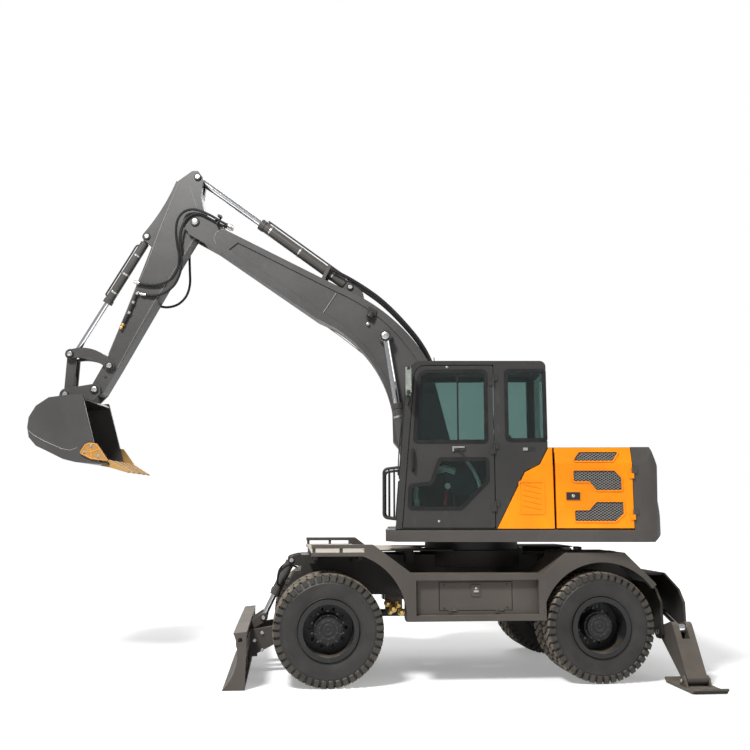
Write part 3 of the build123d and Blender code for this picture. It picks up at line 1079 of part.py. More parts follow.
# Bucket: a curved shell between two side plates, and two ears over the arm and the link
EAR_Y = (ROCKER_Y[1] + SIDE_GAP, ROCKER_Y[1] + SIDE_GAP + 26)
SHELL = 24
BUCKET_SIDE = [(4222, 2896), (4400, 2890), (4588, 2866), (4725, 2773), (4796, 2649), (4806, 2540),
               (4784, 2432), (4701, 2339), (4399, 2200), (4257, 2162), (4007, 2150)]
with BuildPart() as bucket:
    with BuildSketch(side_plane(BUCKET_HALF_WIDTH)):
        with BuildLine():
            Polyline((4222, 2868), (4530, 2832))
            ThreePointArc((4530, 2832), (4800, 2570), (4684, 2333))
            Polyline((4684, 2333), (4399, 2196), (4270, 2164), (3905, 2130), (4222, 2868))
        make_face()
        with BuildLine():
            Polyline((4150, 2850), (4527, 2808))
            ThreePointArc((4527, 2808), (4776, 2570), (4672, 2355))
            Polyline((4672, 2355), (4393, 2220), (4264, 2188), (3880, 2154), (4150, 2850))
        make_face(mode=Mode.SUBTRACT)
    extrude(amount=2 * BUCKET_HALF_WIDTH)
    for sign in SIDES.values():
        slab(BUCKET_SIDE, *sorted((sign * (BUCKET_HALF_WIDTH - SHELL), sign * BUCKET_HALF_WIDTH)))
        ear = sorted((sign * EAR_Y[0], sign * EAR_Y[1]))
        with BuildSketch(side_plane(ear[1])):
            with Locations(BUCKET_PIN, LINK_FOOT):
                Circle(66)
            with Locations((4250, 2852), (4600, 2809)):
                Circle(10)
            make_hull()
        extrude(amount=ear[1] - ear[0])
        boss = sign * (ARM_HALF_WIDTH + SIDE_GAP)
        bar_y(BUCKET_PIN, 62, boss, sign * EAR_Y[1])
        bar_y(LINK_FOOT, 44, boss, sign * EAR_Y[1])
        bar_y(LINK_FOOT, 34, boss, sign * (EAR_Y[1] + 10))
    bar_y(BUCKET_PIN, 38, -EAR_Y[1] - 10, EAR_Y[1] + 10)
write(bucket, "bucket", SLEW)

TOOTH_COUNT = 5
TOOTH_HALF_WIDTH = 45
TOOTH = [(3703, 2050), (3904.7, 2108), (3990, 2122), (3990, 2137.6), (3904.7, 2129.7), (3904.7, 2156.6),
         (3990, 2164.1), (3990, 2182), (3904.7, 2188), (3703, 2062)]
CUTTER = [(4112, 2372), (4034, 2361), (3993, 2307), (3894, 2169), (4088, 2192), (4199, 2246), (4213, 2269),
          (4158, 2354)]
with BuildPart() as bucket_teeth:
    for index in range(TOOTH_COUNT):
        y = (2 * index / (TOOTH_COUNT - 1) - 1) * (BUCKET_HALF_WIDTH - SHELL - TOOTH_HALF_WIDTH - 10)
        slab(TOOTH, y - TOOTH_HALF_WIDTH, y + TOOTH_HALF_WIDTH)
    for sign in SIDES.values():
        y = sorted((sign * (BUCKET_HALF_WIDTH + 0.3), sign * (BUCKET_HALF_WIDTH + 22)))
        slab(CUTTER, *y, 10)
write(bucket_teeth, "bucket_teeth", SLEW)
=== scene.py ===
from collections import defaultdict
from itertools import product
from math import cos, pi, radians, sin

import bmesh
import bpy
from mathutils import Matrix, Vector


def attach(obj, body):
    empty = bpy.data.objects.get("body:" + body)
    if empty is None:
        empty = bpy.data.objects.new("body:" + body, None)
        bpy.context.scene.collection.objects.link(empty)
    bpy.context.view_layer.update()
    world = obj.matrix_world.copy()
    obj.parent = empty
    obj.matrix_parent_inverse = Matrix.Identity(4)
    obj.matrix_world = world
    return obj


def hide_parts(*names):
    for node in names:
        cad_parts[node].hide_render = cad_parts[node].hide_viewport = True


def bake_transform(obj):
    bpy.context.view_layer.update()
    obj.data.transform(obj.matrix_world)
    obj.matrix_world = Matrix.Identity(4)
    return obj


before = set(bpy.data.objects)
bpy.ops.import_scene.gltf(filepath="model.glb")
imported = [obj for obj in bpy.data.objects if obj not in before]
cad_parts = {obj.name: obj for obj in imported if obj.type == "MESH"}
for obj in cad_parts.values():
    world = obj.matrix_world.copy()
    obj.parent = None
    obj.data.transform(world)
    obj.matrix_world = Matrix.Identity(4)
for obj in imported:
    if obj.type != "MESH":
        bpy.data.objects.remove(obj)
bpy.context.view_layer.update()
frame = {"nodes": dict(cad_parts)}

# Metres, in the CAD's own frame. The upper works are drawn square to X and turned with the slew.
SLEW = radians(-7)
TURN = Matrix.Rotation(SLEW, 4, "Z")
SIDES = {"left": 1, "right": -1}
AXLE_X = {"front": 1.611, "rear": -1.03}
TYRE_RADIUS = 0.5275


# Materials: node helpers

class Nodes:
    """Adds nodes to a tree. Values are numbers, colours or sockets."""

    def __init__(self, tree):
        self.tree = tree

    def feed(self, node, values):
        """Sets or links a node's inputs, given by name or index."""
        for key, value in values.items():
            socket = node.inputs[key]
            if isinstance(value, (int, float)):
                socket.default_value = value
            elif isinstance(value, tuple):
                socket.default_value = (*value, 1)[:len(socket.default_value)]
            else:
                self.tree.links.new(value, socket)

    def add(self, kind, values, output=0, **settings):
        """A node with its settings and inputs; gives one of its outputs."""
        node = self.tree.nodes.new("ShaderNode" + kind)
        for name, value in settings.items():
            setattr(node, name, value)
        self.feed(node, values)
        return node.outputs[output]

    def math(self, operation, *values, clamp=False):
        return self.add("Math", dict(enumerate(values)), operation=operation, use_clamp=clamp)

    def mix(self, factor, first, second):
        """A colour mix: its factor, A and B are the inputs 0, 6 and 7, and the result is output 2."""
        return self.add("Mix", {0: factor, 6: first, 7: second}, 2, data_type="RGBA")

    def place(self):
        """The place in the piece's own coordinates, so that a pattern stays with the piece."""
        return self.add("TexCoord", {}, "Object")

    def split(self, vector):
        """The X, Y and Z of a vector."""
        node = self.tree.nodes.new("ShaderNodeSeparateXYZ")
        self.feed(node, {0: vector})
        return node.outputs

    def noise(self, scale, detail=4.0, stretch=(1, 1, 1)):
        """Noise over the piece, finer with a larger scale."""
        place = self.add("Mapping", {"Vector": self.place(), "Scale": stretch})
        return self.add("TexNoise", {"Vector": place, "Scale": scale, "Detail": detail})

    def wander(self, middle, spread, scale, detail=6.0):
        """A value that noise moves about its middle."""
        return self.math("MULTIPLY_ADD", self.noise(scale, detail), spread, middle - spread / 2)

    def band(self, value, low, high):
        """Stretches a range of a value to 0..1."""
        return self.add("MapRange", {"Value": value, "From Min": low, "From Max": high})

    def bump(self, height, strength, distance=0.001, edge=0.0):
        """A normal that follows a height, over edges that a Bevel node rounds."""
        values = {"Height": height, "Strength": strength, "Distance": distance}
        if edge:
            values["Normal"] = self.add("Bevel", {"Radius": edge}, samples=4)
        return self.add("Bump", values)

    def rays(self):
        """Which kind of ray looks."""
        return self.tree.nodes.new("ShaderNodeLightPath").outputs


class Surface(Nodes):
    """A material in the making."""

    def __init__(self, name):
        self.material = bpy.data.materials.new(name)
        self.material.use_nodes = True
        super().__init__(self.material.node_tree)

    def finish(self, values):
        """Feeds the Principled shader and gives the material."""
        self.feed(self.tree.nodes["Principled BSDF"], values)
        return self.material


def shade(color, factor):
    """A colour made darker or lighter."""
    return tuple(min(1, channel * factor) for channel in color)


# Materials: surfaces

DUST = (0.42, 0.35, 0.26)
ROAD_DUST = (0.3, 0.25, 0.19)
GLASS_DUST = (0.3, 0.3, 0.27)
# Painted shade: the near-black that faces pointing down are darkened towards
UNDERSIDE_SHADE = (0.006, 0.006, 0.006)
# Scuffs run up and down the sheets
SCUFF_STRETCH = (1, 1, 0.35)
# The pale tread plates over the front wheels: their heights, their rear limit, how level they are
DECK_Z = (1.236, 1.257)
DECK_REAR_X = 0.6
DECK_LEVEL = 0.9
DECK_COLOR = (0.33, 0.29, 0.225)


def paint(name, color, rough=0.42, dust=0.25, edge=0.004, underside_shade=0.0, deck=False):
    """Sprayed paint: slow colour drift, faint scuffs and orange peel, dust on what faces up, painted shade
    below.
    """
    made = Surface(name)
    drift = made.mix(made.band(made.noise(1.7), 0.35, 0.65), shade(color, 0.86), shade(color, 1.16))
    scuff = made.math("MULTIPLY", made.band(made.noise(14, 8.0, SCUFF_STRETCH), 0.62, 0.75), 0.25)
    worn = made.mix(scuff, drift, tuple(channel * 0.5 + 0.06 for channel in color))
    facing_up = made.split(made.add("NewGeometry", {}, "Normal"))[2]
    patches = made.band(made.noise(5, 6.0), 0.25, 0.75)
    settled = made.math("MULTIPLY", made.band(facing_up, 0.35, 1.0), patches)
    amount = made.math("MULTIPLY", settled, dust, clamp=True)
    # Painted shade: faces that point down are darkened towards near-black
    if underside_shade:
        worn = made.mix(made.math("MULTIPLY", made.band(facing_up, -0.15, -0.8), underside_shade), worn, UNDERSIDE_SHADE)
    if deck:
        forward, _, height = made.split(made.place())
        mask = made.math("LESS_THAN", height, DECK_Z[1])
        for value, limit in ((height, DECK_Z[0]), (forward, DECK_REAR_X), (facing_up, DECK_LEVEL)):
            mask = made.math("MULTIPLY", made.math("GREATER_THAN", value, limit), mask)
        worn = made.mix(mask, worn, DECK_COLOR)
    roughness = made.math("MULTIPLY_ADD", amount, 0.5, made.wander(rough, 0.14, 30), clamp=True)
    return made.finish({"Base Color": made.mix(amount, worn, DUST), "Roughness": roughness,
                        "Specular IOR Level": 0.35,
                        "Normal": made.bump(made.noise(900, 6.0), 0.05, edge=edge)})


def metal(name, color, rough):
    """Bare or plated metal, a little uneven."""
    made = Surface(name)
    uneven = made.mix(made.band(made.noise(22, 6.0), 0.3, 0.7), shade(color, 0.9), color)
    return made.finish({"Base Color": uneven, "Roughness": made.wander(rough, 0.16, 60), "Metallic": 1.0,
                        "Normal": made.bump(made.noise(700, 6.0), 0.02, edge=0.002)})


def dull(name, color, rough=0.6, grain=500, depth=0.2):
    """Rubber, plastic and cloth: an even colour broken up by grain."""
    made = Surface(name)
    blotched = made.mix(made.band(made.noise(9, 8.0), 0.3, 0.7), shade(color, 0.7), shade(color, 1.3))
    return made.finish({"Base Color": blotched, "Roughness": made.wander(rough, 0.2, 40, 4.0),
                        "Specular IOR Level": 0.15, "Normal": made.bump(made.noise(grain, 6.0), depth)})


def tyre_material():
    """Black rubber, dusty where the mesh says it meets the road."""
    made = Surface("tyre_rubber")
    mark = made.add("Attribute", {}, "Fac", attribute_name="road")
    dusty = made.math("MULTIPLY", mark, made.band(made.noise(11, 8.0), 0.2, 0.65), clamp=True)
    rubber = made.mix(made.band(made.noise(4, 6.0), 0.3, 0.7), (0.02, 0.019, 0.018), (0.04, 0.037, 0.034))
    return made.finish({"Base Color": made.mix(made.math("MULTIPLY", dusty, 0.75), rubber, ROAD_DUST),
                        "Roughness": made.math("MULTIPLY_ADD", dusty, 0.35, 0.5), "Specular IOR Level": 0.3,
                        "Normal": made.bump(made.noise(260, 6.0), 0.25)})


# Expanded metal: strands to the metre up and along, and the share of each step that is metal
STRANDS_UP = 40.0
STRANDS_ALONG = 26.0
STRAND_WIDTH = 0.28


def grille_material():
    """A dark sheet of expanded metal: grey strands over black diamonds, painted shade in place of its
    openings.
    """
    made = Surface("grille_mesh")
    along, _, height = made.split(made.place())
    strands = []
    for direction in (1, -1):
        slant = made.math("MULTIPLY_ADD", height, direction * STRANDS_UP,
                          made.math("MULTIPLY", along, STRANDS_ALONG))
        strands.append(made.math("LESS_THAN", made.math("FRACT", slant), STRAND_WIDTH))
    strand = made.math("MAXIMUM", *strands)
    # The near-black between the strands is painted shade where the holes would be
    return made.finish({"Base Color": made.mix(strand, (0.002, 0.002, 0.002), (0.18, 0.173, 0.163)),
                        "Roughness": made.wander(0.45, 0.2, 40, 4.0), "Specular IOR Level": 0.2,
                        "Normal": made.bump(strand, 0.6, 0.002)})


def glass(name, color):
    """Tinted safety glass, with a film of dust."""
    made = Surface(name)
    film = made.math("MULTIPLY", made.band(made.noise(6, 8.0), 0.3, 0.8), 0.1)
    return made.finish({"Base Color": made.mix(film, color, GLASS_DUST), "Transmission Weight": 1.0,
                        "Roughness": made.math("MULTIPLY_ADD", film, 0.6, 0.02), "IOR": 1.45})


GREY = paint("grey_paint", (0.06, 0.054, 0.049), dust=0.15)
CAB_GREY = paint("cab_paint", (0.03, 0.029, 0.028), dust=0.15)
# The boom, arm, linkage and bucket take a cooler, darker copy of the grey paint: painted shade
SHADED_ARM_GREY = paint("arm_paint_shaded", (0.056, 0.054, 0.053), rough=0.38, dust=0.12, underside_shade=0.6)
# The chassis frame's paint is far darker than the chassis grey: painted shade under the machine
SHADED_FRAME_GREY = paint("frame_paint_shaded", (0.028, 0.025, 0.022), rough=0.55, dust=0.3, underside_shade=0.9, deck=True)
CHASSIS_GREY = paint("chassis_paint", (0.068, 0.059, 0.05), rough=0.5, dust=0.35, underside_shade=0.9, deck=True)
RIM_GREY = paint("rim_paint", (0.016, 0.016, 0.017), dust=0.35, edge=0.003)
BLACK = paint("black_paint", (0.018, 0.018, 0.019), rough=0.45, dust=0.2)
BARREL = paint("barrel_paint", (0.06, 0.056, 0.052), rough=0.35, dust=0.2)
YELLOW = paint("yellow_paint", (0.93, 0.25, 0.0), rough=0.34, dust=0.03)
TOOTH_YELLOW = paint("tooth_paint", (0.7, 0.27, 0.025), rough=0.6, dust=0.3)
TOOTH_WORN = paint("worn_teeth", (0.34, 0.19, 0.055), rough=0.6, dust=0.5)
# Weld beads and plate edges: raised lines coloured paler than the paint, a painted highlight
WELD_HIGHLIGHT = paint("weld_highlights", (0.19, 0.175, 0.16), rough=0.4, dust=0.1, edge=0.0)
CHROME = metal("rod_chrome", (0.82, 0.83, 0.85), 0.14)
STEEL = metal("pin_steel", (0.52, 0.51, 0.49), 0.36)
DARK_STEEL = metal("dark_steel", (0.13, 0.125, 0.12), 0.42)
BRASS = metal("brass", (0.8, 0.55, 0.2), 0.35)
RUBBER = dull("black_rubber", (0.016, 0.016, 0.016), 0.55)
PLASTIC = dull("cab_plastic", (0.035, 0.035, 0.036), grain=800, depth=0.35)
TRIM = dull("cab_trim", (0.23, 0.25, 0.22), grain=900)
RED = dull("red_plastic", (0.55, 0.02, 0.02), 0.4)
CREAM = dull("pale_plastic", (0.62, 0.6, 0.55), 0.5)
CLOTH = dull("seat_cloth", (0.045, 0.045, 0.05), 0.85, grain=1400, depth=0.5)
TYRE = tyre_material()
GLASS = glass("window_glass", (0.3, 0.42, 0.4))
GRILLE = grille_material()

# Each material's nodes, without the ending that names a side
NODE_MATERIALS = {
    SHADED_FRAME_GREY: "chassis_frame",
    CHASSIS_GREY: "side_frames blade outrigger_leg outrigger_pad locker_door",
    GREY: "upper_frame counterweight hood fuel_tank",
    CAB_GREY: "cab_frame cab_door",
    SHADED_ARM_GREY: "boom arm rocker link bucket",
    BARREL: "boom_barrels arm_barrel bucket_barrel blade_barrels outrigger_barrel",
    YELLOW: "side_panels engine_door",
    RIM_GREY: "rim_front rim_rear",
    BLACK: "front_axle rear_axle knuckle drivetrain engine_block handrails slew_ring tie_rod arm_pipes",
    CHROME: "boom_rods arm_rod bucket_rod blade_rods outrigger_rod",
    TOOTH_WORN: "bucket_teeth",
    PLASTIC: "console",
    RUBBER: "boom_hoses",
    GLASS: "cab_glass cab_door_glass",
}
for material, kinds in NODE_MATERIALS.items():
    for kind in kinds.split():
        for node in {kind, f"{kind}_left", f"{kind}_right"}.intersection(frame["nodes"]):
            slots = frame["nodes"][node].data.materials
            slots.clear()
            slots.append(material)


# Pieces and shapes

def piece(name, mesh, material, body, turned=False, smooth=False, sharp=False):
    """A finished mesh as an object that rides on a body; turned swings it with the slew."""
    if sharp:
        bmesh.ops.recalc_face_normals(mesh, faces=mesh.faces)
    data = bpy.data.meshes.new(name)
    mesh.to_mesh(data)
    mesh.free()
    if turned:
        data.transform(TURN)
    data.materials.append(material)
    if smooth:
        data.polygons.foreach_set("use_smooth", [True] * len(data.polygons))
    thing = bpy.data.objects.new(name, data)
    bpy.context.scene.collection.objects.link(thing)
    if body:
        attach(thing, body)
    if sharp:
        data.set_sharp_from_angle(angle=radians(35))
    return thing


def skin(mesh, rings, closed=True):
    """Joins rings of vertices side by side, and closes both ends unless told otherwise."""
    for first, second in zip(rings, rings[1:]):
        for index in range(len(first)):
            other = (index + 1) % len(first)
            mesh.faces.new((first[index], first[other], second[other], second[index]))
    if closed:
        mesh.faces.new(rings[0][::-1])
        mesh.faces.new(rings[-1])


def circle(count):
    """Angles in equal steps all round."""
    return [2 * pi * step / count for step in range(count)]


def upright(place, axis):
    """A matrix that puts Z along an axis at a place."""
    turn = Vector((0, 0, 1)).rotation_difference(Vector(axis)).to_matrix().to_4x4()
    return Matrix.Translation(Vector(place)) @ turn


def lathe(mesh, place, axis, profile, segments=24, hollow=None):
    """A turned shape from (distance along the axis, radius); a hollow radius makes it a ring."""
    if hollow:
        profile = [(profile[0][0], hollow), *profile, (profile[-1][0], hollow)]
    matrix = upright(place, axis)
    rings = []
    for height, radius in profile:
        rings.append([mesh.verts.new(matrix @ Vector((radius * cos(a), radius * sin(a), height)))
                      for a in circle(segments)])
    if hollow:
        rings.append(rings[0])
    skin(mesh, rings, closed=not hollow)


def stud(radius, height, top_height, top_radius):
    """The profile of a round head with a bevelled or stepped top."""
    return [(0, radius), (height, radius), (top_height, top_radius)]


def smooth_line(points, steps=8):
    """Points of a smooth line through the given ones."""
    points = [Vector(point) for point in points]
    ends = [2 * points[0] - points[1]] + points + [2 * points[-1] - points[-2]]
    line = []
    for index in range(1, len(ends) - 2):
        a, b, c, d = ends[index - 1:index + 3]
        for step in range(steps):
            t = step / steps
            line.append(0.5 * (2 * b + (c - a) * t + (2 * a - 5 * b + 4 * c - d) * t * t
                               + (3 * b - a - 3 * c + d) * t ** 3))
    return line + [points[-1]]


def tube(mesh, line, radius, segments=10):
    """A round tube along a line, closed at both ends."""
    line = [Vector(point) for point in line]
    side = (line[1] - line[0]).orthogonal().normalized()
    rings = []
    for index, point in enumerate(line):
        ahead = (line[min(index + 1, len(line) - 1)] - line[max(index - 1, 0)]).normalized()
        side = (side - ahead * side.dot(ahead)).normalized()
        up = ahead.cross(side)
        rings.append([mesh.verts.new(point + radius * (side * cos(a) + up * sin(a)))
                      for a in circle(segments)])
    skin(mesh, rings)


def plate(mesh, outline, y_range):
    """A plate with a side outline of (x, z) points."""
    skin(mesh, [[mesh.verts.new((x, y, z)) for x, z in outline] for y in sorted(y_range)])


def box(mesh, x_range, y_range, z_range):
    """A square block."""
    (x0, x1), (z0, z1) = x_range, z_range
    plate(mesh, [(x0, z0), (x1, z0), (x1, z1), (x0, z1)], y_range)


def rounded(corners, steps=6):
    """The points of an outline of (x, z, corner radius)."""
    points = []
    for index, (x, z, radius) in enumerate(corners):
        here = Vector((x, z))
        before = (Vector(corners[index - 1][:2]) - here).normalized()
        after = (Vector(corners[(index + 1) % len(corners)][:2]) - here).normalized()
        half = before.angle(after) / 2
        reach = radius / max(0.05, abs(sin(half)) / cos(half))
        centre = here + (before + after).normalized() * radius / sin(half)
        start, end = here + before * reach - centre, here + after * reach - centre
        for step in range(steps + 1):
            points.append(centre + start.lerp(end, step / steps).normalized() * radius)
    return points


def seal(mesh, corners, inward, outward, y_low, y_high):
    """A strip that follows an opening's edge, from inward of it to outward of it."""
    line = rounded(corners)
    count = len(line)
    area = sum(line[i - 1].x * line[i].y - line[i].x * line[i - 1].y for i in range(count))
    sense = 1 if area > 0 else -1
    rings = []
    for offset, y in ((-outward, y_low), (-outward, y_high), (inward, y_high), (inward, y_low)):
        ring = []
        for index in range(count):
            along = (line[(index + 1) % count] - line[index - 1]).normalized()
            point = line[index] + Vector((-along.y, along.x)) * sense * offset
            ring.append(mesh.verts.new((point.x, y, point.y)))
        rings.append(ring)
    skin(mesh, rings + rings[:1], closed=False)


def bead(mesh, points, y, radius=0.004):
    """A weld bead or raised line along (x, z) points on a side face."""
    tube(mesh, [(x, y, z) for x, z in points], radius, 6)


def mirrored(point, sign):
    """A point or direction on the given side, from its value on the left."""
    return point[0], sign * point[1], point[2]


def turned(point):
    """A point of the upper works, swung with the slew."""
    return TURN @ Vector(point)


# One growing mesh for each (name, body, material), so that like details share a piece
upper = defaultdict(bmesh.new)
lower = defaultdict(bmesh.new)


# Pins: a collar and a bright head at each end

# (x, z), the Y of the pin's end face, head radius, body
UPPER_PINS = (
    ((3.118, 4.93), 0.16, 0.036, "boom"),
    ((1.335, 4.167), 0.08, 0.026, "boom"),
    ((3.112, 5.483), 0.118, 0.028, "arm"),
    ((3.693, 4.788), 0.074, 0.028, "arm"),
    ((4.045, 3.263), 0.15, 0.03, "arm"),
    ((4.5, 3.4), 0.148, 0.029, "rocker"),
    ((4.194, 2.989), 0.178, 0.033, "bucket"),
    ((4.52, 2.935), 0.178, 0.028, "bucket"),
    ((0.931, 3.565), 0.277, 0.042, "boom_rods"),
    ((0.59, 1.5), 0.293, 0.03, "upper"),
    ((0.2, 1.8), 0.197, 0.04, "upper"),
)
LOWER_PINS = (
    ((2.245, 0.545), 0.216, 0.022, "blade"),
    ((1.93, 0.45), 0.318, 0.026, "chassis"),
    ((1.96, 1.13), 0.221, 0.022, "chassis"),
)
# (distance along the axis, share of the head's radius)
PIN_COLLAR = ((0, 1.45), (0.014, 1.45), (0.017, 1.35))
PIN_HEAD = ((0, 1), (0.012, 1), (0.016, 0.82), (0.016, 0.3), (0.013, 0.2))
COLLAR_SETBACK = 0.012
for group, pins in ((upper, UPPER_PINS), (lower, LOWER_PINS)):
    for (x, z), face, radius, body in pins:
        for sign in SIDES.values():
            for name, material, setback, form in (("pin_collars", BLACK, COLLAR_SETBACK, PIN_COLLAR),
                                                  ("pin_heads", STEEL, 0, PIN_HEAD)):
                lathe(group[name, body, material], (x, sign * (face - setback), z), (0, sign, 0),
                      [(along, share * radius) for along, share in form])

# The outriggers' pins lie along X: (y, z), half the distance between the end faces, head radius, body
LEG_PINS = (
    ((0.96, 0.45), 0.135, 0.026, "chassis"),
    ((0.3, 0.77), 0.13, 0.02, "chassis"),
    ((1.48, 0.073), 0.133, 0.018, "outrigger_pad"),
)
OUTRIGGER_X = -1.83
LEG_FACE = 0.072
for (y, z), face, radius, body in LEG_PINS:
    for hand, side in SIDES.items():
        owner = body if body == "chassis" else f"{body}_{hand}"
        for end in (-1, 1):
            lathe(lower["pin_heads", owner, STEEL], (OUTRIGGER_X + end * face, side * y, z), (end, 0, 0),
                  stud(radius, 0.01, 0.013, 0.8 * radius))
(leg_y, leg_z), *_ = LEG_PINS[0]
for hand, side in SIDES.items():
    boss = lower["leg_bosses", f"outrigger_leg_{hand}", CHASSIS_GREY]
    for end in (-1, 1):
        lathe(boss, (OUTRIGGER_X + end * LEG_FACE, side * leg_y, leg_z), (end, 0, 0),
              stud(0.052, 0.03, 0.034, 0.046), 28)


# Boom and arm: weld beads, seams and the edges of the flange plates, coloured pale as painted highlights

ARM_FACE = 0.104
BOOM_FACE = 0.15
BOOM_WEB_FACE = 0.14
ARM_FRONT = ((3.33, 5.415), (3.52, 4.905), (3.68, 4.42), (3.798, 4.13), (4.07, 3.4))
ARM_REAR = ((3.105, 4.8), (3.31, 4.445), (3.568, 4.008), (3.768, 3.63), (3.96, 3.245))
ARM_SEAM = ((3.192, 5.372), (3.182, 5.311), (3.11, 5.113))
ARM_HOLE = (4.093, 3.137)
BOOM_NOSE_ARC = ((2.779, 4.842), (2.869, 4.806), (2.897, 4.738), (2.873, 4.662))
BOOM_LOW_EDGE = ((2.845, 4.615), (1.692, 3.806), (1.37, 3.57), (1.094, 3.33), (0.926, 3.04),
                 (0.842, 2.724))
BOOM_TOP_EDGE = ((2.735, 4.8), (1.44, 4.128), (1.15, 3.985), (0.896, 3.79), (0.67, 3.57),
                 (0.484, 3.31))
BOOM_WELDS = (((2.72, 4.76), (2.79, 4.6)), ((1.486, 4.084), (1.662, 3.813)))
# The work lamp's bracket hangs on the boom's web
LAMP_BRACKET = ((1.121, 3.921), (1.025, 3.871), (1.073, 3.741), (1.145, 3.79))
LAMP_BRACKET_Y = (0.141, 0.168)
LAMP = ((-0.02, 0.018), (0, 0.034), (0.05, 0.04), (0.052, 0.03))
LAMP_BOLT = (1.128, 3.722)


for sign in SIDES.values():
    outward = (0, sign, 0)
    arm_welds = upper["arm_welds", "arm", WELD_HIGHLIGHT]
    bead(arm_welds, ARM_FRONT, sign * ARM_FACE, 0.006)
    bead(arm_welds, ARM_REAR, sign * ARM_FACE, 0.005)
    bead(arm_welds, ARM_SEAM, sign * ARM_FACE)
    boom_welds = upper["boom_welds", "boom", WELD_HIGHLIGHT]
    bead(boom_welds, BOOM_NOSE_ARC, sign * BOOM_FACE)
    for edge in (BOOM_LOW_EDGE, BOOM_TOP_EDGE):
        line = smooth_line([(x, 0, z) for x, z in edge], 6)
        bead(boom_welds, [(point.x, point.z) for point in line], sign * BOOM_WEB_FACE, 0.005)
    for weld in BOOM_WELDS:
        bead(boom_welds, weld, sign * BOOM_WEB_FACE, 0.006)
    bracket = upper["lamp_bracket", "boom", BLACK]
    plate(bracket, LAMP_BRACKET, [sign * y for y in LAMP_BRACKET_Y])
    lathe(bracket, mirrored((1.085, 0.172, 3.835), sign), mirrored((0.55, 0.1, -0.83), sign), LAMP, 20)
    lathe(upper["lamp_bolts", "boom", STEEL], (LAMP_BOLT[0], sign * BOOM_FACE, LAMP_BOLT[1]), outward,
          stud(0.017, 0.016, 0.018, 0.012), 12)
    lathe(upper["arm_holes", "arm", BLACK], (ARM_HOLE[0], sign * (ARM_FACE - 0.004), ARM_HOLE[1]),
          outward, stud(0.016, 0.006, 0.006, 0.008), 16)


# Cylinders: a gland nut at each barrel's head, clamp bands, and a steel pipe along it

# base (x, z), tip (x, z), Y of its middle, barrel radius, barrel's far end from the base, body
CYLINDERS = (
    ((0.59, 1.5), (0.931, 3.565), 0.225, 0.058, 1.33, "boom_barrels"),
    ((0.59, 1.5), (0.931, 3.565), -0.225, 0.058, 1.33, "boom_barrels"),
    ((1.335, 4.167), (3.112, 5.483), 0, 0.06, 1.3, "arm_barrel"),
    ((3.693, 4.788), (4.5, 3.4), 0, 0.05, 0.9, "bucket_barrel"),
)
# (distance along the axis, height over the barrel); both are rings, open at the rod
GLAND = ((0, 0), (0.004, 0.007), (0.046, 0.007), (0.05, 0.002))
GLAND_SETBACK = 0.055
GLAND_BITE = 0.008
BAND = ((0, 0.001), (0.001, 0.004), (0.021, 0.004), (0.022, 0.001))
BAND_BITE = 0.004
FIRST_BAND = 0.24
MIDDLE_BAND = 0.55
LAST_BAND = 0.16
# The pipe: (distance from the base, or from the barrel's far end, height over the barrel)
PIPE_FOOT = ((0.13, 0.0), (0.16, 0.022), (0.3, 0.022))
PIPE_HEAD = ((0.12, 0.022), (0.09, 0.018), (0.07, 0.0))
PIPE_RADIUS = 0.01
for base, tip, y, radius, reach, body in CYLINDERS:
    start = Vector((base[0], y, base[1]))
    axis = (Vector((tip[0], y, tip[1])) - start).normalized()
    above = Vector((-axis.z, 0, axis.x))
    lathe(upper["glands", body, BLACK], start + axis * (reach - GLAND_SETBACK), axis,
          [(along, radius + height) for along, height in GLAND], 32, radius - GLAND_BITE)
    for along in (FIRST_BAND, reach * MIDDLE_BAND, reach - LAST_BAND):
        lathe(upper["bands", body, STEEL], start + axis * along, axis,
              [(step, radius + height) for step, height in BAND], 32, radius - BAND_BITE)
    route = PIPE_FOOT + tuple((reach - back, height) for back, height in PIPE_HEAD)
    pipe_line = [start + axis * along + above * (radius + height) for along, height in route]
    tube(upper["pipes", body, BLACK], smooth_line(pipe_line, 4), PIPE_RADIUS)


# Hoses over the arm's pivot, from the clip on the boom's nose

HOSE_RADIUS = 0.014
# name, Y at the boom and at the arm, (x, z) points; each hose runs from the boom to the arm
HOSES = (
    ("hose_outer", 0.196, 0.132, (
        (2.7, 4.862), (2.79, 4.905), (2.87, 4.955), (2.96, 5.005), (3.06, 5.048), (3.15, 5.064),
        (3.24, 5.036), (3.303, 4.955), (3.325, 4.835), (3.31, 4.66), (3.284, 4.5), (3.312, 4.355),
        (3.39, 4.25), (3.53, 4.196), (3.67, 4.198), (3.77, 4.222))),
    ("hose_inner", 0.164, 0.132, (
        (2.71, 4.84), (2.8, 4.88), (2.88, 4.925), (2.97, 4.975), (3.06, 5.016), (3.14, 5.012),
        (3.205, 4.965), (3.258, 4.87), (3.28, 4.72), (3.268, 4.56), (3.262, 4.44), (3.282, 4.31),
        (3.345, 4.185), (3.46, 4.095), (3.59, 4.068), (3.69, 4.084))),
    ("hose_far", -0.176, -0.132, (
        (2.71, 4.85), (2.8, 4.89), (2.88, 4.935), (2.97, 4.985), (3.06, 5.022), (3.14, 5.004),
        (3.2, 4.93), (3.236, 4.8), (3.246, 4.62), (3.236, 4.44), (3.228, 4.27), (3.262, 4.13),
        (3.35, 4.03), (3.47, 3.992), (3.59, 4.01), (3.69, 4.062))),
)
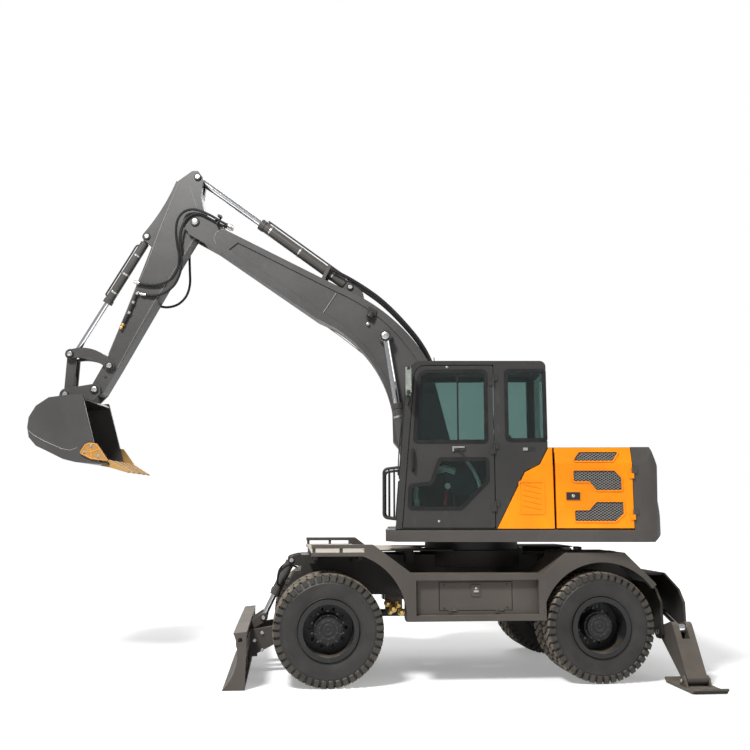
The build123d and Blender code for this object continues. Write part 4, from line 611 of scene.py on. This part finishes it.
# A hose crosses from the boom's Y to the arm's between these points, counted from its two ends
CROSSING = (7, 2)
COUPLING = ((0, 0.017), (0.03, 0.018), (0.031, 0.021), (0.05, 0.021), (0.051, 0.014), (0.07, 0.014))
COUPLING_BITE = 0.03
for name, boom_y, arm_y, route in HOSES:
    points = []
    for index, (x, z) in enumerate(route):
        share = min(1, max(0, (index - CROSSING[0]) / (len(route) - 1 - sum(CROSSING))))
        points.append((x, boom_y + (arm_y - boom_y) * share * share * (3 - 2 * share), z))
    line = smooth_line(points)
    path = [turned(point) for point in line]
    length = sum((b - a).length for a, b in zip(path, path[1:]))
    mesh = bmesh.new()
    tube(mesh, line, HOSE_RADIUS, 12)
    hose = piece(name, mesh, RUBBER, None, turned=True, smooth=True)
    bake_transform(hose)
    path[0]
    for end, following, body in ((points[0], points[1], "boom"), (points[-1], points[-2], "arm")):
        back = (Vector(end) - Vector(following)).normalized()
        lathe(upper["couplings", body, STEEL], Vector(end) - back * COUPLING_BITE, back, COUPLING, 12)

# The clip on the boom's nose: its two posts, and its two plates as (outline, Y range)
CLIP_POSTS = ((2.866, 4.94), (2.852, 4.895))
CLIP_PLATES = (
    (((2.835, 4.975), (2.815, 4.967), (2.85, 4.868), (2.872, 4.876)), (0.148, 0.152)),
    (((2.842, 5.000), (2.8, 4.984), (2.808, 4.962), (2.85, 4.978)), (0.15, 0.216)),
)
# On the arm's pipes: clamps and the blocks under them, a valve at the lower end and an elbow at the upper
ARM_PIPE_Y = 0.13
PIPE_CLAMPS = ((3.805, 3.99), (3.848, 3.87))
CLAMP = ((0, 0.016), (0.002, 0.021), (0.03, 0.021), (0.032, 0.016))
CLAMP_BLOCK_Y = (0.104, 0.148)
END_VALVE = ((0, 0.014), (0.003, 0.022), (0.028, 0.022), (0.03, 0.015), (0.048, 0.015), (0.05, 0.019),
             (0.074, 0.019))
ELBOW = ((0, 0.013), (0.002, 0.019), (0.04, 0.019), (0.042, 0.014))
for sign in SIDES.values():
    clip = upper["hose_clips", "boom", BLACK]
    for x, z in CLIP_POSTS:
        lathe(clip, (x, sign * BOOM_FACE, z), (0, sign, 0), stud(0.014, 0.064, 0.07, 0.01), 12)
    for outline, y_range in CLIP_PLATES:
        plate(clip, outline, [sign * y for y in y_range])
    clamps = upper["pipe_clamps", "arm", STEEL]
    pipe_y = sign * ARM_PIPE_Y
    for x, z in PIPE_CLAMPS:
        lathe(clamps, (x - 0.006, pipe_y, z + 0.017), (0.34, 0, -0.94), CLAMP, 16)
        box(clamps, (x - 0.012, x + 0.012), [sign * y for y in CLAMP_BLOCK_Y], (z - 0.012, z + 0.01))
    lathe(upper["end_valves", "arm", BRASS], (3.905, pipe_y, 3.75), (0.43, 0, -0.9), END_VALVE, 6)
    lathe(upper["elbows", "arm", STEEL], (3.772, pipe_y, 4.087), (-0.4, 0, 0.35), ELBOW, 6)


# Bucket: wear strips, bolts and the ribs of the side cutters

BUCKET_FACE = 0.475
CUTTER_FACE = 0.497
WEAR_LINE = ((4.79, 2.5), (4.712, 2.444), (4.618, 2.393), (4.42, 2.308), (4.326, 2.29), (4.249, 2.318))
CUTTER_BORDER = ((4.105, 2.362), (4.038, 2.352), (4.000, 2.302), (3.912, 2.18), (4.085, 2.201),
                 (4.19, 2.252), (4.202, 2.268), (4.152, 2.344))
CUTTER_MIDDLE = (4.085, 2.268)
CUTTER_RIB = 0.006
CUTTER_BOLTS = ((4.092, 2.336), (4.168, 2.27), (4.01, 2.225))
# A bolt on its washer
CUTTER_BOLT = ((0, 0.017), (0.003, 0.017), (0.003, 0.012), (0.014, 0.012), (0.016, 0.01))
for sign in SIDES.values():
    # The weld bead along the wear strip is pale: a painted highlight
    bead(upper["bucket_welds", "bucket", WELD_HIGHLIGHT], WEAR_LINE, sign * BUCKET_FACE)
    ribs = upper["cutter_ribs", "bucket", TOOTH_YELLOW]
    bead(ribs, CUTTER_BORDER + CUTTER_BORDER[:1], sign * CUTTER_FACE, CUTTER_RIB)
    for corner in CUTTER_BORDER[::2]:
        bead(ribs, (corner, CUTTER_MIDDLE), sign * CUTTER_FACE, CUTTER_RIB)
    for x, z in CUTTER_BOLTS:
        lathe(upper["cutter_bolts", "bucket", STEEL], (x, sign * CUTTER_FACE, z), (0, sign, 0),
              CUTTER_BOLT, 12)


# Cab: rubber seals round the windows, a sliding pane's frame, handles, mirror, wiper and lamps

CAB_FACE = 1.17
# Window openings: (x, z, corner radius)
DOOR_UPPER = ((0.634, 2.315, 0.04), (-0.09, 2.315, 0.04), (-0.09, 3.034, 0.04), (0.584, 3.034, 0.1))
DOOR_LOWER = ((0.386, 2.158, 0.035), (-0.096, 2.158, 0.035), (-0.096, 1.931, 0.035), (0.174, 1.661, 0.035),
              (0.69, 1.661, 0.035), (0.68, 1.895, 0.035), (0.47, 1.922, 0.035))
QUARTER = ((-0.279, 2.33, 0.04), (-0.279, 3.037, 0.04), (-0.672, 3.037, 0.02), (-0.672, 2.33, 0.02))
for corners, body in ((DOOR_UPPER, "cab_door"), (DOOR_LOWER, "cab_door"), (QUARTER, "upper")):
    seal(upper["window_seals", body, RUBBER], corners, 0.026, 0.012, CAB_FACE - 0.022, CAB_FACE + 0.004)
sash = upper["sash", "cab_door", RUBBER]
box(sash, (0.188, 0.204), (1.14, 1.158), (2.325, 3.024))
box(sash, (-0.085, 0.196), (1.14, 1.156), (2.325, 2.345))
# The latch's bent plate and its lever, the grip, and two studs
LATCH_PLATE = ((0.255, 2.276), (0.135, 2.276), (0.135, 2.262), (0.24, 2.262), (0.24, 2.228), (0.255, 2.228))
LEVER_LINE = ((0.232, 1.186, 2.252), (0.19, 1.196, 2.246), (0.15, 1.196, 2.205))
GRIP_X = 0.645
GRIP_LINE = ((1.175, 2.243), (1.205, 2.228), (1.212, 2.19), (1.212, 2.09), (1.205, 2.052), (1.175, 2.036))
DOOR_STUDS = ((0.3, 3.07), (0.395, 1.545))
plate(upper["door_latch", "cab_door", STEEL], LATCH_PLATE, (CAB_FACE, CAB_FACE + 0.02))
tube(upper["door_lever", "cab_door", BLACK], LEVER_LINE, 0.009, 8)
grip_line = smooth_line([(GRIP_X, y, z) for y, z in GRIP_LINE], 5)
tube(upper["door_grip", "cab_door", RUBBER], grip_line, 0.013, 12)
for x, z in DOOR_STUDS:
    lathe(upper["door_studs", "cab_door", STEEL], (x, CAB_FACE, z), (0, 1, 0),
          stud(0.012, 0.006, 0.009, 0.008), 12)
# The rear latch's recess and its lever
box(upper["rear_latch", "upper", BLACK], (-0.56, -0.455), (CAB_FACE - 0.002, CAB_FACE + 0.003),
    (2.228, 2.268))
box(upper["rear_latch_lever", "upper", STEEL], (-0.485, -0.44), (CAB_FACE + 0.002, CAB_FACE + 0.012),
    (2.234, 2.262))

# The front leans back: its X at the sill, and how far it leans over how much height
CAB_FRONT_X = 0.82
CAB_SILL_Z = 1.47
CAB_LEAN = 0.135 / 1.666


def front_point(y, z, proud):
    """A point at a height that stands proud of the cab's front face."""
    return CAB_FRONT_X - CAB_LEAN * (z - CAB_SILL_Z) + proud, y, z


# Windscreen seals and wiper
SCREEN_Y = (0.356, 1.114)
SCREENS_Z = ((1.56, 1.93), (1.99, 3.000))
screen = upper["screen_seals", "upper", RUBBER]
for low, high in SCREENS_Z:
    for y in SCREEN_Y:
        tube(screen, [front_point(y, z, 0.001) for z in (low, high)], 0.011, 6)
    for z in (low, high):
        tube(screen, [front_point(y, z, 0.001) for y in SCREEN_Y], 0.011, 6)
# y, z and how far proud of the glass
WIPER_PIVOT = (0.98, 2.02, 0)
WIPER_ARM = ((0.98, 2.02, 0.02), (0.93, 2.35, 0.03), (0.86, 2.6, 0.02))
WIPER_BLADE = ((0.9, 2.3, 0.012), (0.83, 2.88, 0.012))
wiper = upper["wiper", "upper", RUBBER]
tube(wiper, [front_point(*point) for point in WIPER_ARM], 0.006, 6)
tube(wiper, [front_point(*point) for point in WIPER_BLADE], 0.008, 6)
lathe(wiper, front_point(*WIPER_PIVOT), (1, 0, 0.08), stud(0.024, 0.018, 0.024, 0.015), 16)

# The mirror's shell tapers to the front; its outline is (y, z, corner radius)
MIRROR_OUTLINE = ((1.2, 2.772, 0.06), (1.406, 2.772, 0.06), (1.406, 3.05, 0.06), (1.2, 3.05, 0.06))
MIRROR_CENTRE = Vector((1.3, 2.91))
MIRROR_TAPER = 0.97
MIRROR_X = (0.664, 0.716)
shell = upper["mirror_shell", "upper", TRIM]
mirror_rings = []
for x, scale in ((MIRROR_X[1], MIRROR_TAPER), (MIRROR_X[0], 1)):
    outline = [MIRROR_CENTRE + (point - MIRROR_CENTRE) * scale for point in rounded(MIRROR_OUTLINE)]
    mirror_rings.append([shell.verts.new((x, point.x, point.y)) for point in outline])
skin(shell, mirror_rings)
box(upper["mirror_glass", "upper", CHROME], (0.658, 0.665), (1.22, 1.386), (2.792, 3.03))
# Work lamps at the roof's front edge, and a stub aerial
ROOF_LAMP_Y = (0.42, 1.04)
ROOF_LAMP = ((0, 0.03), (0.01, 0.048), (0.055, 0.055))
AERIAL = ((0, 0.016), (0.012, 0.016), (0.014, 0.005), (0.06, 0.004))
for y in ROOF_LAMP_Y:
    lathe(upper["lamp_bodies", "upper", BLACK], (0.56, y, 3.095), (1, 0, -0.25), ROOF_LAMP)
lathe(upper["aerial", "upper", BLACK], (0.42, 1.02, 3.134), (0.05, 0, 1), AERIAL, 12)

# Inside: steering wheel, lever grips, a red safety lever, pale trim and a monitor
SEAT_Y = 0.735
WHEEL_CENTRE = Vector((0.516, SEAT_Y, 2.152))
WHEEL_RADIUS = 0.18
LEVER_Y = 0.252
LEVER_GRIP = ((0, 0.02), (0.03, 0.028), (0.09, 0.026), (0.115, 0.016))
SAFETY_LEVER = ((0.33, 1.04, 1.7), (0.3, 1.04, 1.86))
FRONT_TRIM = ((0.6, 1.04, 1.56), (0.628, 1.04, 2.05))
REAR_TRIM = ((0.03, 1.06, 1.68), (-0.02, 1.06, 1.86), (0.03, 1.06, 2.02), (0.11, 1.06, 2.14))
ARMREST = ((0.47, 1.000, 2.04), (0.33, 1.000, 2.06), (0.22, 1.000, 2.03))
wheel_line = [WHEEL_CENTRE + WHEEL_RADIUS * Vector((cos(turn), sin(turn), 0)) for turn in circle(40)]
tube(upper["steering_wheel", "upper", PLASTIC], wheel_line, 0.014, 8)
for side in (-1, 1):
    lathe(upper["lever_grips", "upper", PLASTIC], (0.306, SEAT_Y + side * LEVER_Y, 2.12), (0.1, 0, 1),
          LEVER_GRIP, 16)
tube(upper["safety_lever", "upper", RED], SAFETY_LEVER, 0.012, 8)
lathe(upper["lever_knob", "upper", CREAM], (0.3, 1.045, 1.89), (0, 1, 0),
      stud(0.03, 0.012, 0.016, 0.02), 20)
trim = upper["inner_trim", "upper", CREAM]
tube(trim, FRONT_TRIM, 0.026, 10)
tube(trim, smooth_line(REAR_TRIM), 0.02, 10)
tube(trim, smooth_line(ARMREST), 0.04, 12)
box(upper["monitor", "upper", PLASTIC], (0.56, 0.59), (0.94, 1.08), (2.25, 2.42))


# Engine doors: meshed grilles in raised borders, the lock's plate, and a pressed square beside the cab

# Grille outlines: (x, z, corner radius)
GRILLES = (
    ((-0.926, 2.131, 0.012), (-0.993, 2.222, 0.012), (-1.383, 2.222, 0.012), (-1.316, 2.131, 0.012)),
    ((-0.926, 2.038, 0.012), (-1.325, 2.038, 0.012), (-1.394, 1.966, 0.012), (-1.394, 1.845, 0.012),
     (-1.146, 1.845, 0.012), (-1.077, 1.93, 0.012), (-0.926, 1.93, 0.012)),
    ((-0.93, 1.652, 0.012), (-1.068, 1.652, 0.012), (-1.143, 1.733, 0.012), (-1.404, 1.733, 0.012),
     (-1.404, 1.616, 0.012), (-1.324, 1.545, 0.012), (-0.93, 1.545, 0.012)),
)
ENGINE_DOOR_FACE = 1.17
CREASE_Z = 2.105
CREASE_SLOPE = 0.38
# The mesh lies between these distances from the door's face
MESH_SINK = (-0.004, -0.007)
LOCK_X = (-0.984, -0.852)
LOCK_Z = (1.752, 1.826)
LOCK_Y = (1.176, 1.18)
LOCK_KEY_PLACE = (-0.918, 1.79)
LOCK_KEY = ((0, 0.015), (0.005, 0.015), (0.007, 0.01), (0.012, 0.009))
SQUARE = ((-0.398, 1.62, 0.015), (-0.634, 1.62, 0.015), (-0.634, 1.93, 0.015), (-0.398, 1.93, 0.015))


def door_y(z, proud):
    """The engine door's face at a height: upright below the crease, leaning in above it."""
    return ENGINE_DOOR_FACE + proud - max(0.0, z - CREASE_Z) * CREASE_SLOPE


for hand, sign in SIDES.items():
    body = f"engine_door_{hand}"
    for corners in GRILLES:
        # The border is drawn flat, then bent to the door's face
        border = upper["grille_borders", body, YELLOW]
        start = len(border.verts)
        seal(border, corners, 0.002, 0.012, -0.002, 0.008)
        border.verts.ensure_lookup_table()
        for vertex in border.verts[start:]:
            vertex.co.y = sign * door_y(vertex.co.z, vertex.co.y)
        sheet = upper["grille_mesh", body, GRILLE]
        outline = rounded(corners, 3)
        skin(sheet, [[sheet.verts.new((point.x, sign * door_y(point.y, sink), point.y)) for point in outline]
                     for sink in MESH_SINK])
    box(upper["lock_plates", body, BLACK], LOCK_X, [sign * y for y in LOCK_Y], LOCK_Z)
    lathe(upper["lock_keys", body, STEEL], (LOCK_KEY_PLACE[0], sign * LOCK_Y[1], LOCK_KEY_PLACE[1]),
          (0, sign, 0), LOCK_KEY, 20)
seal(upper["pressed_square", "upper", YELLOW], SQUARE, 0.009, 0.009, 1.166, 1.1745)


# Undercarriage: blade bolts, hoses to the blade's cylinders, latches on the lockers, and valves

BLADE_BOLTS = ((2.254, 0.405), (2.25, 0.232), (2.33, 0.33))
BLADE_BOLT_Y = 0.311
BLADE_BOLT = ((0, 0.018), (0.004, 0.018), (0.004, 0.013), (0.016, 0.013))
BLADE_HOSE = ((1.905, 0.238, 1.06), (1.99, 0.262, 1.085), (2.085, 0.262, 1.01), (2.105, 0.245, 0.9),
              (2.07, 0.205, 0.86))
LOCKER_FACE = 1.15
LOCKER_LATCH_Y = (1.16, 1.172)
LOCKER_STUD_X = (-0.12, 0.495)
LOCKER_STUD_Z = (0.72, 0.94)
for hand, sign in SIDES.items():
    outward = (0, sign, 0)
    for x, z in BLADE_BOLTS:
        lathe(lower["blade_bolts", "blade", STEEL], (x, sign * BLADE_BOLT_Y, z), outward, BLADE_BOLT, 12)
    blade_hose = smooth_line([mirrored(point, sign) for point in BLADE_HOSE])
    tube(lower["blade_hoses", "chassis", RUBBER], blade_hose, 0.011, 10)
    latch = lower["locker_latches", f"locker_door_{hand}", STEEL]
    box(latch, (0.165, 0.21), [sign * y for y in LOCKER_LATCH_Y], (0.868, 0.886))
    lathe(latch, (0.1875, sign * LOCKER_LATCH_Y[0], 0.905), outward, stud(0.012, 0.008, 0.01, 0.008), 16)
    for x in LOCKER_STUD_X:
        for z in LOCKER_STUD_Z:
            lathe(lower["locker_studs", f"locker_door_{hand}", BLACK], (x, sign * LOCKER_FACE, z),
                  outward, stud(0.009, 0.004, 0.006, 0.006), 8)
# Brass-coloured valve bodies hung under the frame behind the front axle: (x, z), length along Y, radius
VALVES = (
    ((0.96, 0.69), 0.1, 0.036),
    ((0.905, 0.64), 0.12, 0.046),
    ((0.85, 0.675), 0.1, 0.036),
    ((0.815, 0.6), 0.08, 0.04),
    ((0.93, 0.6), 0.06, 0.028),
)
VALVE_Y = 0.3
# A chamfered body and then a narrower neck
for (x, z), length, radius in VALVES:
    lathe(lower["valves", "chassis", BRASS], (x, VALVE_Y, z), (0, 1, 0),
          [(0, radius * 0.6), (0.01, radius), (length * 0.5, radius), (length * 0.55, radius * 0.7),
           (length * 0.9, radius * 0.7), (length, radius * 0.4)], 8)
box(lower["valve_bracket", "chassis", CHASSIS_GREY], (0.8, 0.98), (0.29, 0.304), (0.6, 0.79))


# Seat: crowned cushions with sewn channels

CROWN = 0.16
CHANNEL_DEPTH = 0.1
CUSHION_STEPS = 18
ROUNDING = 5.0
# place (x, z), lean in degrees, size, sewn channels
CUSHIONS = (
    ((0.035, 1.915), -4, (0.46, 0.42, 0.12), 3),
    ((-0.19, 2.18), -96, (0.5, 0.4, 0.12), 3),
    ((-0.235, 2.56), -94, (0.15, 0.24, 0.09), 0),
)


def pillow(mesh, place, lean, size, channels):
    """A cushion: a rounded block whose upper face is crowned and sewn across into channels."""
    matrix = Matrix.Translation(Vector(place)) @ Matrix.Rotation(lean, 4, "Y")
    corners = {}

    def corner(cell):
        if cell not in corners:
            u, v, w = (2 * step / CUSHION_STEPS - 1 for step in cell)
            reach = (abs(u) ** ROUNDING + abs(v) ** ROUNDING + abs(w) ** ROUNDING) ** (1 / ROUNDING)
            u, v, w = u / reach, v / reach, w / reach
            crown = 1 + CROWN * (1 - u * u) * (1 - v * v)
            if channels and w > 0:
                crown -= CHANNEL_DEPTH * max(0.0, cos(pi * channels * u)) ** 8 * (1 - v ** 4)
            local = Vector((u * size[0] / 2, v * size[1] / 2, w * crown * size[2] / 2))
            corners[cell] = mesh.verts.new(matrix @ local)
        return corners[cell]

    steps = range(CUSHION_STEPS)
    for axis, end, row, column in product(range(3), (0, CUSHION_STEPS), steps, steps):
        ring = []
        for down, across in ((0, 0), (1, 0), (1, 1), (0, 1)):
            cell = [row + down, column + across]
            cell.insert(axis, end)
            ring.append(corner(tuple(cell)))
        mesh.faces.new(ring)


seat_mesh = bmesh.new()
for (x, z), lean, size, channels in CUSHIONS:
    pillow(seat_mesh, (x, SEAT_Y, z), radians(lean), size, channels)
bmesh.ops.recalc_face_normals(seat_mesh, faces=seat_mesh.faces)
seat = piece("seat_cushions", seat_mesh, CLOTH, "upper", turned=True, smooth=True)
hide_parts("seat")


# The grown meshes become pieces

SLOT_OF = {
    STEEL: "machined_steel", BRASS: "machined_steel", CHROME: "rod_chrome", BLACK: "cast_parts",
    GRILLE: "cast_parts", RUBBER: "black_rubber", PLASTIC: "cab_plastic", TRIM: "cab_plastic",
    RED: "cab_plastic", CREAM: "cab_plastic", YELLOW: "paint_yellow", TOOTH_YELLOW: "tooth_paint",
    WELD_HIGHLIGHT: "paint_grey", CHASSIS_GREY: "paint_grey",
}
for group, is_upper in ((upper, True), (lower, False)):
    for (name, body, material), mesh in group.items():
        detail = piece(f"{name}_{body}", mesh, material, body, turned=is_upper, smooth=True, sharp=True)
        SLOT_OF[material]


# Tyres: a carcass turned about the axle, with shoulder lugs and blocks across the crown

TYRE_CENTRES = (0.79, 1.105)
CARCASS_STEPS = 132
# (radius, distance from the tyre's middle plane), from the bead to the crown
CARCASS = ((0.2565, 0.086), (0.268, 0.098), (0.276, 0.098), (0.296, 0.107), (0.301, 0.111),
           (0.306, 0.109), (0.335, 0.1195), (0.37, 0.1295), (0.4, 0.1355), (0.415, 0.1362),
           (0.432, 0.133), (0.438, 0.1345), (0.444, 0.13), (0.47, 0.12), (0.492, 0.11),
           (0.503, 0.098), (0.508, 0.05))
CROWN_RADIUS = 0.495
LUG_COUNT = 44
PITCH = 2 * pi / LUG_COUNT
# A shoulder lug from the side to the crown: radius, distance from the middle plane, and in pitches its half
# length and its lean
LUG = ((0.45, 0.1285, 0.26, 0.1), (0.462, 0.1365, 0.3, 0.1), (0.512, 0.131, 0.33, 0.1),
       (0.5255, 0.112, 0.34, 0.1), (TYRE_RADIUS, 0.058, 0.32, 0.34))
LUG_OFFSET = 0.25
LUG_DEPTH = 0.028
LUG_INSET = 0.024
# The first pairs of a lug's vertices are on the tyre's side
LUG_SIDE_VERTICES = 6
# A block beside the middle line: (distance from the middle plane, pitches along)
BLOCK = ((0.052, -0.3), (0.052, 0.22), (0.006, 0.34), (0.006, -0.18))
BLOCK_OFFSET = 0.62
BLOCK_FOOT = 0.505
# How dusty the crown between the lugs, the lugs' sides and the tread are
CROWN_DUST = 0.5
SIDE_DUST = 0.12
TREAD_DUST = 1.0


def ring_point(radius, offset, turn):
    """A point on a circle about the axle, at a distance from the tyre's middle plane."""
    return Vector((radius * sin(turn), offset, radius * cos(turn)))


def add_lug(mesh, road, middle, side):
    """A shoulder lug, down over the side and in over the crown, slanted like the real blocks."""
    top, base = [], []
    for radius, width, half, lean in LUG:
        for edge in (-1, 1):
            turn = middle + side * lean * PITCH + edge * half * PITCH
            top.append(mesh.verts.new(ring_point(radius, side * width, turn)))
            base.append(mesh.verts.new(ring_point(radius - LUG_DEPTH, side * (width - LUG_INSET), turn)))
    for a in range(0, len(top) - 2, 2):
        b, c, d = a + 1, a + 3, a + 2
        mesh.faces.new((top[a], top[b], top[c], top[d]))
        mesh.faces.new((top[a], top[d], base[d], base[a]))
        mesh.faces.new((top[b], base[b], base[c], top[c]))
    mesh.faces.new((top[0], base[0], base[1], top[1]))
    mesh.faces.new((top[-2], top[-1], base[-1], base[-2]))
    for index, vertex in enumerate(top):
        vertex[road] = SIDE_DUST if index < LUG_SIDE_VERTICES else TREAD_DUST


def add_block(mesh, road, middle, side):
    """A tread block on one side of the middle line."""
    high, low = [[mesh.verts.new(ring_point(radius, side * width, middle + along * PITCH))
                  for width, along in BLOCK] for radius in (TYRE_RADIUS, BLOCK_FOOT)]
    mesh.faces.new(high)
    skin(mesh, [high, low], closed=False)
    for vertex in high:
        vertex[road] = TREAD_DUST


def add_tyre(mesh, road, axle_x, centre):
    """One tyre in the mesh; road marks what meets the ground."""
    start = len(mesh.verts)
    rings = []
    for radius, width in [*CARCASS, *((radius, -width) for radius, width in reversed(CARCASS))]:
        rings.append([mesh.verts.new(ring_point(radius, width, turn)) for turn in circle(CARCASS_STEPS)])
        for vertex in rings[-1]:
            vertex[road] = CROWN_DUST if radius > CROWN_RADIUS else 0.0
    skin(mesh, rings, closed=False)
    for lug in range(LUG_COUNT):
        for side in (-1, 1):
            middle = (lug + side * LUG_OFFSET) * PITCH
            add_lug(mesh, road, middle, side)
            add_block(mesh, road, middle + side * BLOCK_OFFSET * PITCH, side)
    mesh.verts.ensure_lookup_table()
    bmesh.ops.translate(mesh, verts=mesh.verts[start:], vec=(axle_x, centre, TYRE_RADIUS))


NUT_COUNT = 10
# Wheel nuts, hub bolts and cap screws: radius of their circle, Y of the face, radius, height
NUT_RINGS = ((0.158, 0.9595, 0.014, 0.016), (0.128, 1.11, 0.008, 0.008), (0.086, 1.158, 0.006, 0.007))
HUB_FACE = 1.149
HUB_CAP = ((0, 0.112), (0.003, 0.11), (0.003, 0.098), (0.009, 0.095), (0.009, 0.076), (0.004, 0.073),
           (0.004, 0.058), (0.014, 0.054), (0.014, 0.034), (0.008, 0.03), (0.008, 0.016), (0.015, 0.012))
for axle, axle_x in AXLE_X.items():
    for hand, sign in SIDES.items():
        wheel = f"wheel_{axle}_{hand}"
        tyre_mesh = bmesh.new()
        road_layer = tyre_mesh.verts.layers.float.new("road")
        for centre in TYRE_CENTRES:
            add_tyre(tyre_mesh, road_layer, axle_x, sign * centre)
        tyre = piece(f"tread_{axle}_{hand}", tyre_mesh, TYRE, wheel, smooth=True, sharp=True)
        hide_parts(f"tyres_{axle}_{hand}")
        nuts = bmesh.new()
        for index in range(NUT_COUNT):
            turn = 2 * pi * (index + 0.5) / NUT_COUNT
            for distance, face, radius, height in NUT_RINGS:
                middle = (axle_x + distance * cos(turn), sign * (face + height / 2),
                          TYRE_RADIUS + distance * sin(turn))
                bmesh.ops.create_cone(nuts, cap_ends=True, segments=6, radius1=radius, radius2=radius * 0.92,
                                      depth=height, matrix=upright(middle, (0, sign, 0)))
        piece(f"wheel_nuts_{axle}_{hand}", nuts, DARK_STEEL, wheel)
        hub = bmesh.new()
        lathe(hub, (axle_x, sign * HUB_FACE, TYRE_RADIUS), (0, sign, 0), HUB_CAP, 48)
        piece(f"hub_cap_{axle}_{hand}", hub, BLACK, wheel, smooth=True, sharp=True)


# Floor: pale, and a little bright of itself so that it runs into the background

FLOOR_COLOR = (0.8, 0.8, 0.8)
# Its own light is GLOW_NEAR at the machine and grows by GLOW_GAIN between these distances from the middle
GLOW_DISTANCES = (4.0, 16.0)
GLOW_NEAR = 0.3
GLOW_GAIN = 0.6
ground = Surface("floor")
rays = ground.rays()
seen = ground.math("MAXIMUM", rays["Is Camera Ray"], rays["Is Glossy Ray"])
seen = ground.math("MAXIMUM", seen, rays["Is Transmission Ray"])
distance = ground.add("VectorMath", {0: ground.place()}, "Value", operation="LENGTH")
glow = ground.math("MULTIPLY_ADD", ground.band(distance, *GLOW_DISTANCES), GLOW_GAIN, GLOW_NEAR)
floor_material = ground.finish({"Base Color": FLOOR_COLOR, "Roughness": 0.9, "Emission Color": (1, 1, 1),
                                "Emission Strength": ground.math("MULTIPLY", seen, glow)})
floor_mesh = bmesh.new()
bmesh.ops.create_circle(floor_mesh, cap_ends=True, segments=96, radius=60)
piece("floor", floor_mesh, floor_material, None)


# World: white where it is seen, dimmer as a light

SKY_LIGHT = 0.35
world = bpy.data.worlds.new("studio")
bpy.context.scene.world = world
world.use_nodes = True
sky = Nodes(world.node_tree)
rays = sky.rays()
seen = sky.math("MAXIMUM", rays["Is Camera Ray"], rays["Is Transmission Ray"])
strength = sky.math("MULTIPLY_ADD", seen, 1 - SKY_LIGHT, SKY_LIGHT)
sky.feed(sky.tree.nodes["Background"], {"Color": (1, 1, 1), "Strength": strength})


# Lamps and camera

LAMP_TARGET = Vector((0.5, 0, 1.5))
# name, place, size across, power in watts
LAMPS = (
    ("key", (7.0, 9.0, 13.0), 3.0, 3000),
    ("fill", (-10.0, 7.0, 7.0), 7.0, 300),
    ("back", (1.0, -12.0, 9.0), 8.0, 700),
)
for name, place, size, power in LAMPS:
    light = bpy.data.lights.new(name, "AREA")
    light.shape = "DISK"
    light.size = size
    light.energy = power
    holder = bpy.data.objects.new(name, light)
    holder.location = place
    holder.rotation_euler = (LAMP_TARGET - Vector(place)).to_track_quat("-Z", "Y").to_euler()
    bpy.context.scene.collection.objects.link(holder)

# The photo's camera, as fitted to the wheels, the slewing ring and the cab
CAMERA_PLACE = Vector((2.017, 10.128, 1.658))
CAMERA_TURN = radians(5.41)
CAMERA_LIFT = radians(8.32)
ahead = Vector((-sin(CAMERA_TURN) * cos(CAMERA_LIFT), -cos(CAMERA_TURN) * cos(CAMERA_LIFT),
                sin(CAMERA_LIFT)))
across = Vector((-cos(CAMERA_TURN), sin(CAMERA_TURN), 0))
above = across.cross(ahead)
camera_data = bpy.data.cameras.new("camera")
camera_data.sensor_width = 36
camera_data.lens = 44.16
camera_data.clip_end = 200
camera = bpy.data.objects.new("camera", camera_data)
camera_axes = Matrix((across, above, -ahead)).transposed().to_4x4()
camera.matrix_world = Matrix.Translation(CAMERA_PLACE) @ camera_axes
bpy.context.scene.collection.objects.link(camera)
bpy.context.scene.camera = camera
bpy.context.scene.view_settings.view_transform = "Standard"
